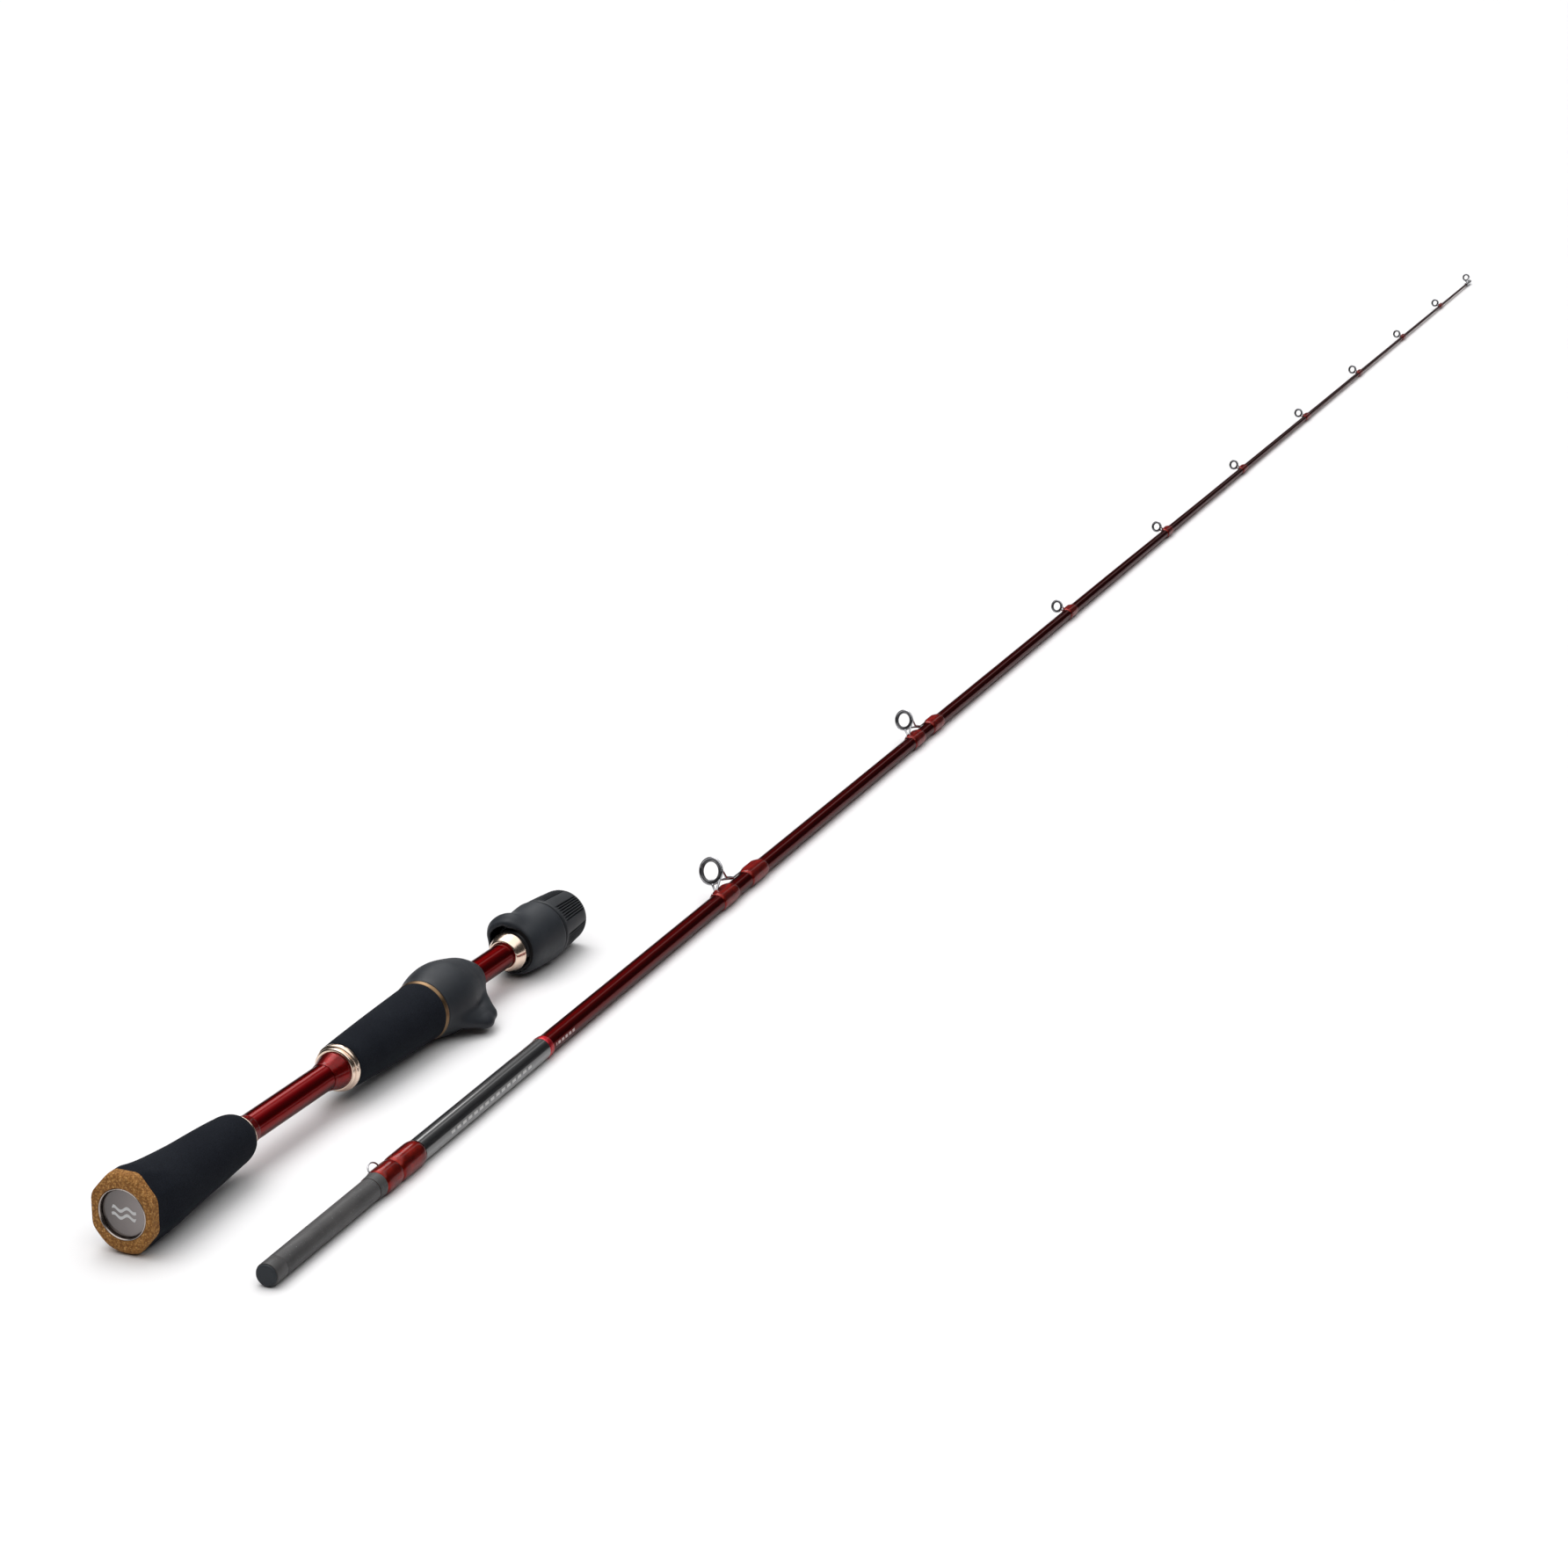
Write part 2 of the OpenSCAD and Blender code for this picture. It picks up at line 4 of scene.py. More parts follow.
import bpy
import numpy as np
from mathutils import Matrix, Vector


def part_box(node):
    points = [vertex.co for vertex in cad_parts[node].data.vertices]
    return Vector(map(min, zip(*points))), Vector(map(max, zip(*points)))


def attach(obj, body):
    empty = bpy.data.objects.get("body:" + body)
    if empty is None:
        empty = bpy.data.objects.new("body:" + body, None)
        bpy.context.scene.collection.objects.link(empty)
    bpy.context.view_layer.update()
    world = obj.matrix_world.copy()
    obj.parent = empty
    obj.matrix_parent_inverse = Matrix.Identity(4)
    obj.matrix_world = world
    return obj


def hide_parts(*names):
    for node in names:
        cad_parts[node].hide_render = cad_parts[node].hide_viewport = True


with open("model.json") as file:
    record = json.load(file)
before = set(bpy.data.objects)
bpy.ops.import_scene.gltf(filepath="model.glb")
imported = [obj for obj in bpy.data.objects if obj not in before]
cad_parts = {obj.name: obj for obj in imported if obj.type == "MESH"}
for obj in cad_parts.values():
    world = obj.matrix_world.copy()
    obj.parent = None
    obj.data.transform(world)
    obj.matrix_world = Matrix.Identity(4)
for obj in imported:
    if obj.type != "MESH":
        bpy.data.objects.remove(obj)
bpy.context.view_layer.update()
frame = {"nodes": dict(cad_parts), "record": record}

# A two-piece casting rod, taken apart. Shapes are worked out in millimetres and stored in metres.
# A place is a 4x4 matrix that carries (x, y, along) of one section to the frame.
MM = 0.001
mounts = {m["name"]: m for m in frame["record"]["mounts"]}


# ---- Where things are ----
def ends(node):
    """Where a node of the handle starts and ends along the handle, in mm."""
    low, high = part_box(node)
    return low.y / MM, high.y / MM


def radius(node):
    """Half the width of a handle node that is round about the handle axis, in mm."""
    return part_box(node)[1].x / MM


def turned(angle):
    """Rotation about the section's own axis, in degrees."""
    c, s = math.cos(math.radians(angle)), math.sin(math.radians(angle))
    return np.array([[c, -s, 0, 0], [s, c, 0, 0], [0, 0, 1, 0], [0, 0, 0, 1.0]])


def axes_matrix(x, y, z, origin):
    """The place whose axes are x, y and z, and whose zero is at origin."""
    m = np.eye(4)
    m[:3, 0], m[:3, 1], m[:3, 2], m[:3, 3] = x, y, z, origin
    return m


HANDLE = axes_matrix((1, 0, 0), (0, 0, -1), (0, 1, 0), (0, 0, 0))
reel_axis = mounts["reel_seat"]["axis"]
TRIGGER_ANGLE = math.degrees(math.atan2(reel_axis[2], -reel_axis[0]))
SEAT = HANDLE @ turned(TRIGGER_ANGLE)

FERRULE_MOUNT_AT = 40.0
ferrule = mounts["male_ferrule"]
TIP_AXIS = -np.array(ferrule["axis"], float)
TIP_START = np.array(ferrule["pos_m"]) / MM - FERRULE_MOUNT_AT * TIP_AXIS
GUIDE_MOUNTS = [m for m in frame["record"]["mounts"] if m["name"].endswith("_line_hole")]


def tip_place_of(point):
    """(along, offset from the axis) of a point given in metres, in the tip section's terms."""
    v = np.array(point) / MM - TIP_START
    along = float(v @ TIP_AXIS)
    return along, v - along * TIP_AXIS


first_offset = tip_place_of(GUIDE_MOUNTS[0]["pos_m"])[1]
GUIDE_DIR = first_offset / np.linalg.norm(first_offset)
TIP = axes_matrix(GUIDE_DIR, np.cross(TIP_AXIS, GUIDE_DIR), TIP_AXIS, TIP_START)


# ---- Meshes ----
def mesh_object(name, points, faces, place, sharp=38):
    """A smooth-shaded mesh from points in mm in a section's own terms and faces of 3 or 4 corners."""
    world = (points @ place[:3, :3].T + place[:3, 3]) * MM
    sizes = np.array([len(f) for f in faces], np.int32) if isinstance(faces, list) else None
    if sizes is None:
        sizes = np.full(len(faces), faces.shape[1], np.int32)
        corners = faces.ravel()
    else:
        corners = np.concatenate([np.asarray(f) for f in faces])
    mesh = bpy.data.meshes.new(name)
    mesh.vertices.add(len(world))
    mesh.vertices.foreach_set("co", world.astype(np.float32).ravel())
    mesh.loops.add(len(corners))
    mesh.loops.foreach_set("vertex_index", corners.astype(np.int32))
    mesh.polygons.add(len(sizes))
    mesh.polygons.foreach_set("loop_start", np.concatenate([[0], np.cumsum(sizes)[:-1]]).astype(np.int32))
    mesh.update(calc_edges=True)
    mesh.shade_smooth()
    mesh.set_sharp_from_angle(angle=math.radians(sharp))
    obj = bpy.data.objects.new(name, mesh)
    bpy.context.scene.collection.objects.link(obj)
    return obj


def soften(outline, reach=0.3, steps=4):
    """Rounds the corners of a closed outline of (radius, along) points, except those on the axis."""
    pts = [np.array(p, float) for p in outline]
    out = []
    for i, p in enumerate(pts):
        a, b = pts[i - 1], pts[(i + 1) % len(pts)]
        if p[0] < 1e-6:
            out.append(p)
            continue
        la, lb = np.linalg.norm(a - p), np.linalg.norm(b - p)
        k = min(reach, la * 0.45, lb * 0.45)
        start, stop = p + (a - p) * k / la, p + (b - p) * k / lb
        for u in np.linspace(0, 1, steps + 1):
            out.append((1 - u) ** 2 * start + 2 * u * (1 - u) * p + u * u * stop)
    return np.array(out)


def lathe(name, outline, place, segments=128, shape=None, sharp=38):
    """Turns a closed outline of (radius, along) points about the axis.

    shape(r, angle, along) gives each point's radius where the piece isn't round.
    """
    pts = np.array(outline, float)
    angle = np.arange(segments) * 2 * np.pi / segments
    rows, points = [], []
    for r, along in pts:
        if r < 1e-6:
            rows.append([sum(map(len, points))])
            points.append(np.array([[0, 0, along]]))
            continue
        radii = np.full(segments, r) if shape is None else shape(r, angle, along)
        rows.append(sum(map(len, points)) + np.arange(segments))
        points.append(np.stack([radii * np.cos(angle), radii * np.sin(angle),
                                np.full(segments, along)], 1))
    faces = []
    for a, b in zip(rows, rows[1:] + rows[:1]):
        if len(a) == 1 and len(b) == 1:
            continue
        for j in range(segments):
            k = (j + 1) % segments
            if len(a) == 1:
                faces.append((a[0], b[k], b[j]))
            elif len(b) == 1:
                faces.append((a[j], a[k], b[0]))
            else:
                faces.append((a[j], a[k], b[k], b[j]))
    return mesh_object(name, np.concatenate(points), faces, place, sharp)


def bend(x, knots):
    """Smooth curve through (x, y) knots, evaluated at an array or a number."""
    xs, ys = np.array(knots, float).T
    slopes = np.gradient(ys, xs)
    x = np.clip(x, xs[0], xs[-1])
    i = np.clip(np.searchsorted(xs, x, side="right") - 1, 0, len(xs) - 2)
    h = xs[i + 1] - xs[i]
    u = (x - xs[i]) / h
    return ((1 + 2 * u) * (1 - u) ** 2 * ys[i] + u * (1 - u) ** 2 * h * slopes[i]
            + u * u * (3 - 2 * u) * ys[i + 1] + u * u * (u - 1) * h * slopes[i + 1])


def along_steps(start, stop, step):
    """Evenly spaced places from start to stop, about a step apart."""
    return np.linspace(start, stop, max(2, int(abs(stop - start) / step) + 1))


# ---- Solids given by a distance field ----
def smin(a, b, k):
    """The lesser of two distances, blended over k mm: joins two solids with a fillet."""
    h = np.clip(0.5 + 0.5 * (b - a) / k, 0, 1)
    return b + (a - b) * h - k * h * (1 - h)


def smax(a, b, k):
    """The greater of two distances, blended over k mm: rounds the edge of a cut."""
    return -smin(-a, -b, k)


def rod(p, a, b, ra, rb=None):
    """Distance to a round bar from a to b whose radius goes from ra to rb."""
    a, b = np.array(a, float), np.array(b, float)
    rb = ra if rb is None else rb
    d = b - a
    u = np.clip(((p - a) @ d) / (d @ d), 0, 1)
    return np.linalg.norm(p - a - u[..., None] * d, axis=-1) - (ra + (rb - ra) * u)


def hoop(p, centre, axis, ring_r, wire_r):
    """Distance to a ring of round wire."""
    v = p - np.array(centre, float)
    up = v @ np.array(axis, float)
    out = np.sqrt(np.maximum((v * v).sum(-1) - up * up, 0))
    return np.hypot(out - ring_r, up) - wire_r


CORNERS = np.array([[i, j, k] for i in (0, 1) for j in (0, 1) for k in (0, 1)])
CELL_EDGES = [(a, b) for a in range(8) for b in range(a + 1, 8)
              if np.abs(CORNERS[a] - CORNERS[b]).sum() == 1]
CELLS_ROUND_EDGE = ((-1, -1), (0, -1), (0, 0), (-1, 0))
SETTLING_STEPS = 2


def sculpt(name, field, low, high, cell, place, sharp=60):
    """Mesh of the surface of a distance field: one point per cell, then drawn onto the surface."""
    low, high = np.array(low, float), np.array(high, float)
    count = np.ceil((high - low) / cell).astype(int) + 1
    grid = np.stack(np.meshgrid(*[low[k] + cell * np.arange(count[k]) for k in range(3)],
                                indexing="ij"), -1)
    d = field(grid)
    inside = d < 0
    held = sum(inside[i:count[0] - 1 + i, j:count[1] - 1 + j, k:count[2] - 1 + k].astype(np.int8)
               for i, j, k in CORNERS)
    cells = np.argwhere((held > 0) & (held < 8))
    number = np.full(count - 1, -1)
    number[tuple(cells.T)] = np.arange(len(cells))
    value = np.stack([d[tuple((cells + c).T)] for c in CORNERS], 1)
    total = np.zeros((len(cells), 3))
    hits = np.zeros(len(cells))
    for a, b in CELL_EDGES:
        va, vb = value[:, a], value[:, b]
        cross = (va < 0) != (vb < 0)
        u = np.where(cross, va / np.where(cross, va - vb, 1), 0)
        total += np.where(cross[:, None], CORNERS[a] + u[:, None] * (CORNERS[b] - CORNERS[a]), 0)
        hits += cross
    points = low + cell * (cells + total / hits[:, None])
    nudge = 0.05 * cell
    for _ in range(SETTLING_STEPS):
        here = field(points)
        slope = np.stack([field(points + nudge * e) - field(points - nudge * e) for e in np.eye(3)], 1)
        slope /= 2 * nudge
        step = -(here / np.maximum((slope ** 2).sum(1), 0.25))[:, None] * slope
        longest = 0.35 * cell
        points = points + np.clip(step, -longest, longest)
    quads = []
    for axis in range(3):
        o1, o2 = (axis + 1) % 3, (axis + 2) % 3
        first = np.take(inside, range(count[axis] - 1), axis)
        second = np.take(inside, range(1, count[axis]), axis)
        at = np.argwhere(first != second)
        low_side = (at[:, o1] > 0) & (at[:, o2] > 0)
        high_side = (at[:, o1] < count[o1] - 1) & (at[:, o2] < count[o2] - 1)
        at = at[low_side & high_side]
        quad = []
        for s1, s2 in CELLS_ROUND_EDGE:
            c = at.copy()
            c[:, o1] += s1
            c[:, o2] += s2
            quad.append(number[tuple(c.T)])
        quad = np.stack(quad, 1)
        leaving = first[tuple(at.T)]
        quads.append(np.where(leaving[:, None], quad, quad[:, ::-1]))
    return mesh_object(name, points, np.concatenate(quads), place, sharp)


# ---- Materials ----
class Look:
    """A Principled material and short ways to add nodes to it."""

    def __init__(self, name, colour, rough, metal=0.0, coat=0.0, coat_rough=0.03):
        self.material = bpy.data.materials.new(name)
        self.material.use_nodes = True
        self.tree = self.material.node_tree
        self.shader = self.tree.nodes["Principled BSDF"]
        self.set("Base Color", (*colour, 1))
        self.set("Roughness", rough)
        self.set("Metallic", metal)
        self.set("Coat Weight", coat)
        self.set("Coat Roughness", coat_rough)
        self.where = self.node("ShaderNodeTexCoord").outputs["Object"]
        self.bumped = None

    def node(self, kind, settings=None, **inputs):
        n = self.tree.nodes.new(kind)
        for key, v in (settings or {}).items():
            setattr(n, key, v)
        for key, v in inputs.items():
            socket = n.inputs[int(key[1:])] if key[0] == "i" and key[1:].isdigit() else n.inputs[key]
            self.put(socket, v)
        return n

    def put(self, socket, v):
        if isinstance(v, bpy.types.NodeSocket):
            self.tree.links.new(v, socket)
        else:
            socket.default_value = v

    def set(self, key, v):
        self.put(self.shader.inputs[key], v)

    def maths(self, how, a, b=0.0, clamp=False):
        return self.node("ShaderNodeMath", {"operation": how, "use_clamp": clamp}, i0=a, i1=b).outputs[0]

    def along(self, axis):
        return self.node("ShaderNodeVectorMath", {"operation": "DOT_PRODUCT"},
                         i0=self.where, i1=tuple(axis)).outputs["Value"]

    def noise(self, scale, detail=3.0, rough=0.6, vector=None):
        return self.node("ShaderNodeTexNoise", Vector=vector or self.where, Scale=scale, Detail=detail,
                         Roughness=rough).outputs["Fac"]

    def stretched(self, factors):
        return self.node("ShaderNodeVectorMath", {"operation": "MULTIPLY"},
                         i0=self.where, i1=factors).outputs["Vector"]

    def span(self, v, to_low, to_high, low=0.0, high=1.0):
        n = self.node("ShaderNodeMapRange", Value=v)
        n.inputs["From Min"].default_value, n.inputs["From Max"].default_value = low, high
        n.inputs["To Min"].default_value, n.inputs["To Max"].default_value = to_low, to_high
        return n.outputs["Result"]

    def ramp(self, v, stops):
        n = self.node("ShaderNodeValToRGB", Fac=v)
        line = n.color_ramp
        while len(line.elements) < len(stops):
            line.elements.new(0.5)
        for e, (at, colour) in zip(line.elements, stops):
            e.position = at
            e.color = (*colour, 1)
        return n.outputs["Color"]

    def mix(self, share, a, b, how="MIX"):
        n = self.node("ShaderNodeMix", {"data_type": "RGBA", "blend_type": how})
        self.put(n.inputs[0], share)
        self.put(n.inputs[6], a if isinstance(a, bpy.types.NodeSocket) else (*a, 1))
        self.put(n.inputs[7], b if isinstance(b, bpy.types.NodeSocket) else (*b, 1))
        return n.outputs[2]

    def bump(self, height, depth_mm, strength=1.0):
        n = self.node("ShaderNodeBump", Height=height, Distance=depth_mm * MM, Strength=strength)
        if self.bumped is not None:
            self.tree.links.new(self.bumped, n.inputs["Normal"])
        self.bumped = n.outputs["Normal"]
        self.set("Normal", self.bumped)


def cork_look():
    """Pressed cork: grains of several browns with dark gaps between them."""
    k = Look("cork", (0.4, 0.2, 0.06), 0.8)
    grain = k.node("ShaderNodeTexVoronoi", Vector=k.where, Scale=1500.0)
    fine = k.noise(4200.0)
    tone = k.maths("MULTIPLY_ADD", grain.outputs["Color"], 0.6)
    k.tree.links.new(k.maths("MULTIPLY", fine, 0.5), tone.node.inputs[2])
    colour = k.ramp(tone, [(0.12, (0.10, 0.035, 0.008)), (0.4, (0.27, 0.115, 0.028)),
                           (0.66, (0.42, 0.20, 0.055)), (0.95, (0.64, 0.36, 0.13))])
    gap = k.span(grain.outputs["Distance"], 0.0, 1.0, 0.45, 0.75)
    k.set("Base Color", k.mix(k.maths("MULTIPLY", gap, 0.5), colour, (0.10, 0.04, 0.01)))
    k.set("Specular IOR Level", 0.2)
    k.bump(k.maths("SUBTRACT", fine, gap), 0.12)
    return k


def foam_look():
    """Dull closed-cell foam: a soft cloud of tone with fine pits."""
    k = Look("foam", (0.010, 0.012, 0.017), 0.9)
    cloud = k.noise(55.0, 4.0)
    fine = k.noise(2600.0, 2.0)
    colour = k.mix(k.span(cloud, 0, 1, 0.35, 0.7), (0.0085, 0.0105, 0.016), (0.012, 0.0145, 0.0205))
    pits = k.span(fine, 0.45, 1.2, 0.3, 0.7)
    grey = k.node("ShaderNodeCombineColor", i0=pits, i1=pits, i2=pits).outputs[0]
    k.set("Base Color", k.mix(1.0, colour, grey, "MULTIPLY"))
    k.set("Specular IOR Level", 0.1)
    k.bump(fine, 0.07)
    k.bump(k.noise(900.0, 2.0), 0.05)
    return k


def soft_coat_look(name, colour, rough=0.5, shine=0.26):
    """Moulded plastic with a soft-touch coat, a little unevenly worn."""
    k = Look(name, colour, rough)
    fine = k.noise(5200.0, 2.0)
    wear = k.noise(120.0, 5.0)
    k.set("Base Color", k.mix(k.span(wear, 0, 1, 0.3, 0.75), colour, tuple(c * 1.25 for c in colour)))
    k.set("Roughness", k.span(wear, rough - 0.06, rough + 0.08, 0.3, 0.7))
    k.set("Specular IOR Level", shine)
    k.bump(fine, 0.012)
    return k


def red_look(name, deep, bright, axis):
    """Red metallic lacquer under a clear coat: fine flakes, and faint turns left by the blank's tape."""
    k = Look(name, bright, 0.3, 1.0, 0.5, 0.03)
    k.set("Coat IOR", 1.3)
    k.set("Specular Tint", (0.30, 0.02, 0.03, 1))
    flakes = k.node("ShaderNodeTexVoronoi", Vector=k.where, Scale=9000.0)
    facing = k.node("ShaderNodeLayerWeight", Blend=0.5).outputs["Facing"]
    tone = k.mix(k.span(facing, 0, 1, 0.15, 0.8), bright, deep)
    flake_colour = tuple(1.4 * c for c in bright)
    k.set("Base Color", k.mix(k.span(flakes.outputs["Color"], 0.0, 0.2), tone, flake_colour))
    turns = k.maths("SINE", k.maths("MULTIPLY", k.along(axis), 1100.0))
    k.bump(turns, 0.0025)
    k.bump(k.noise(260.0, 2.0), 0.012)
    return k


def thread_look(axis, name="thread", deep=(0.09, 0.003, 0.002), bright=(0.30, 0.016, 0.007)):
    """Thread wound side by side under glossy epoxy."""
    k = Look(name, bright, 0.32, 0.85, 0.6, 0.03)
    k.set("Coat IOR", 1.33)
    k.set("Specular Tint", (0.35, 0.03, 0.03, 1))
    wound = k.maths("SINE", k.maths("MULTIPLY", k.along(axis), 2 * math.pi / (0.28 * MM)))
    patch = k.noise(240.0, 3.0)
    shade = k.maths("ADD", k.maths("MULTIPLY", wound, 0.22), patch)
    k.set("Base Color", k.mix(k.span(shade, 0, 1, 0.25, 0.85), deep, bright))
    k.bump(wound, 0.012)
    return k


def metal_look(name, colour, rough=0.16, axis=(0, 1, 0)):
    """Turned metal with fine tool lines round the axis."""
    k = Look(name, colour, rough, 1.0)
    lines = k.noise(900.0, 2.0, vector=k.node("ShaderNodeCombineXYZ", i1=k.along(axis)).outputs[0])
    smear = k.noise(300.0, 4.0)
    k.set("Roughness", k.span(k.maths("ADD", lines, smear), rough - 0.05, rough + 0.1, 0.7, 1.3))
    k.bump(lines, 0.004)
    return k


def ferrule_look(name="ferrule", low=(0.034, 0.033, 0.034), high=(0.056, 0.053, 0.053)):
    """Sanded carbon: dull, rubbed along its length, with pale specks where it has worn."""
    k = Look(name, low, 0.55)
    rub = k.noise(1.0, 4.0, vector=k.stretched((900.0, 60.0, 900.0)))
    cloud = k.noise(70.0, 4.0)
    specks = k.span(k.noise(1500.0, 2.0), 0, 0.55, 0.66, 0.74)
    worn = k.mix(k.span(cloud, 0, 1, 0.3, 0.7), low, high)
    k.set("Base Color", k.mix(specks, worn, (0.2, 0.2, 0.2)))
    k.set("Roughness", k.span(rub, 0.46, 0.66, 0.3, 0.7))
    k.bump(rub, 0.008)
    return k


def plain_marks(k, start, stop, dash, colour, base):
    """A line of short pale dashes along the tip section, on the side towards the trigger."""
    up = np.cross((1, 0, 0), TIP_AXIS)
    up /= np.linalg.norm(up)
    t = k.maths("SUBTRACT", k.along(TIP_AXIS), float(TIP_START @ TIP_AXIS) * MM)
    height = k.maths("SUBTRACT", k.along(up), float(TIP_START @ up) * MM + 0.4 * MM)
    in_line = k.maths("LESS_THAN", k.maths("ABSOLUTE", height), 0.55 * MM)
    in_span = k.maths("LESS_THAN", k.maths("ABSOLUTE", k.maths("SUBTRACT", t, (start + stop) / 2 * MM)),
                      (stop - start) / 2 * MM)
    in_dash = k.maths("LESS_THAN", k.maths("FRACT", k.maths("DIVIDE", t, dash * MM)), 0.62)
    on = k.maths("MULTIPLY", k.maths("MULTIPLY", in_line, in_span), in_dash)
    return k.mix(on, base, colour)


def sleeve_look():
    """Glossy black lacquer over a fine weave, with a row of plain dashes along one side."""
    k = Look("sleeve", (0.006, 0.006, 0.007), 0.3, 0.0, 1.0, 0.04)
    t = k.along(TIP_AXIS)
    side = k.along(np.cross(TIP_AXIS, (0, 0, 1)))
    weave = k.maths("MULTIPLY", k.maths("SINE", k.maths("MULTIPLY", k.maths("ADD", t, side), 5200.0)),
                    k.maths("SINE", k.maths("MULTIPLY", k.maths("SUBTRACT", t, side), 5200.0)))
    base = k.mix(k.span(weave, 0, 0.6, 0.0, 1.0), (0.005, 0.005, 0.006), (0.02, 0.02, 0.022))
    k.set("Base Color", plain_marks(k, 128, 196, 4.6, (0.32, 0.31, 0.30), base))
    k.bump(weave, 0.004)
    return k


def badge_look():
    """Smoked badge over spun metal, with two plain waves. Its colour carries painted shade: dark on the left
    side, under the bezel's rim, growing lighter towards the right.
    """
    k = Look("badge", (0.12, 0.10, 0.1), 0.3, 0.6, 1.0, 0.03)
    xyz = k.node("ShaderNodeSeparateXYZ", Vector=k.where)
    x, z = xyz.outputs["X"], xyz.outputs["Z"]
    wave = k.maths("MULTIPLY", k.maths("SINE", k.maths("MULTIPLY", x, 1150.0)), 0.7 * MM)
    off = k.maths("SUBTRACT", z, wave)
    band = k.maths("ABSOLUTE", k.maths("SUBTRACT", k.maths("ABSOLUTE", off), 1.3 * MM))
    inside = k.maths("LESS_THAN", k.maths("ADD", k.maths("MULTIPLY", x, x), k.maths("MULTIPLY", z, z)),
                     (5.0 * MM) ** 2)
    mark = k.maths("MULTIPLY", k.span(band, 1, 0, 0.5 * MM, 0.68 * MM), inside)
    # Painted shade: the badge's colour runs from dark on the left, where the bezel's rim shades it, to
    # lighter on the right.
    base = k.ramp(k.span(x, 0, 1, -9 * MM, 9 * MM), [(0.0, (0.05, 0.04, 0.036)), (0.5, (0.13, 0.11, 0.105)),
                                                    (1.0, (0.22, 0.19, 0.185))])
    k.set("Base Color", k.mix(mark, base, (0.5, 0.5, 0.5)))
    k.set("Metallic", k.span(mark, 0.6, 0.05))
    k.bump(k.noise(2200.0), 0.004)
    return k


def tip_red_look():
    k = red_look("tip_red", (0.045, 0.002, 0.002), (0.19, 0.008, 0.009), TIP_AXIS)
    base = k.shader.inputs["Base Color"].links[0].from_socket
    k.set("Base Color", plain_marks(k, 219, 236, 3.2, (0.5, 0.45, 0.44), base))
    return k


LOOKS = {
    "cork": cork_look(),
    "foam": foam_look(),
    "seat_plastic": soft_coat_look("soft_coat", (0.0165, 0.0195, 0.0245)),
    "nut_plastic": soft_coat_look("nut_coat", (0.0145, 0.0168, 0.0205), 0.46, 0.3),
    "barrel_plastic": soft_coat_look("barrel", (0.02, 0.02, 0.022), 0.4),
    "liner": soft_coat_look("liner", (0.006, 0.006, 0.007), 0.6),
    "plug": soft_coat_look("plug", (0.024, 0.028, 0.033), 0.6),
    "arbor_foam": soft_coat_look("arbor", (0.4, 0.37, 0.3), 0.8),
    "blank": red_look("handle_red", (0.06, 0.001, 0.002), (0.29, 0.003, 0.008), (0, 1, 0)),
    "tip_blank": tip_red_look(),
    "thread": thread_look((0, 1, 0), "handle_thread", (0.08, 0.002, 0.002), (0.30, 0.006, 0.006)),
    "tip_thread": thread_look(TIP_AXIS),
    "trim_metal": metal_look("champagne", (0.80, 0.63, 0.51)),
    "bronze": metal_look("bronze", (0.19, 0.12, 0.065), 0.32),
    "bezel_metal": metal_look("bezel", (0.42, 0.37, 0.34), 0.2),
    "insert_metal": metal_look("insert", (0.45, 0.38, 0.25), 0.3),
    "guide_metal": metal_look("guide_wire", (0.42, 0.42, 0.44), 0.12, TIP_AXIS),
    "guide_ceramic": soft_coat_look("ceramic", (0.05, 0.05, 0.055), 0.16, 0.5),
    "ferrule_matte": ferrule_look(),
    "collar": ferrule_look("collar", (0.030, 0.030, 0.030), (0.050, 0.048, 0.047)),
    "black_lacquer": sleeve_look(),
    "trim_lacquer": thread_look(TIP_AXIS, "trim_lacquer", (0.30, 0.006, 0.012), (0.62, 0.03, 0.05)),
    "badge": badge_look(),
}
slots = {s["node"]: s["material_slot"] for s in frame["record"]["subparts"]}
bodies = {n: b for b, ns in frame["record"]["behaviour"]["bodies"].items() for n in ns}


def shown(obj, nodes, look=None):
    """Gives a finished piece its material and body, and hides the CAD nodes that it stands for."""
    node = nodes[0]
    obj.data.materials.append(LOOKS[look or slots[node]].material)
    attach(obj, bodies[node])
    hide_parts(*nodes)


# ---- Butt ----
BUTT_FLATS = 8
FLAT_DEPTH = 0.6
BUTT_R = 15.4
FLAT_REACH = BUTT_R - FLAT_DEPTH
FLAT_CORNER_R = 5.0
CAP_ROUND_INSIDE = 10.5  # the cap's pocket, within this radius, stays round
SLIP = 0.03  # room between a piece and what it sits on


def flatted(reach, corner):
    """Outline radius of a round-cornered octagon with flats at the given reach."""
    def outline(angle):
        half = math.pi / BUTT_FLATS
        a = np.abs((angle + half) % (2 * half) - half)
        c = (reach - corner) / math.cos(half)
        off = half - a
        flat_end = math.atan((reach - corner) * math.tan(half) / reach)
        round_r = c * np.cos(off) + np.sqrt(np.maximum(corner ** 2 - (c * np.sin(off)) ** 2, 0))
        return np.where(a < flat_end, reach / np.cos(a), round_r)
    return outline


BUTT_SIDE = radius("butt_cap")
octagon = flatted(FLAT_REACH, FLAT_CORNER_R)


def butt_edge(angle):
    """Outline of the butt: a soft octagon, squeezed from left and right."""
    squeeze = BUTT_SIDE / FLAT_REACH
    stretched = np.arctan2(np.sin(angle), np.cos(angle) / squeeze)
    return octagon(stretched) / np.hypot(np.cos(angle) / squeeze, np.sin(angle))


def butt_shape(r, angle, along):
    """Octagonal on the outside, and round in the badge's pocket."""
    if r <= CAP_ROUND_INSIDE:
        return np.full_like(angle, r)
    return -smax(-np.full_like(angle, r), -butt_edge(angle), 0.12)


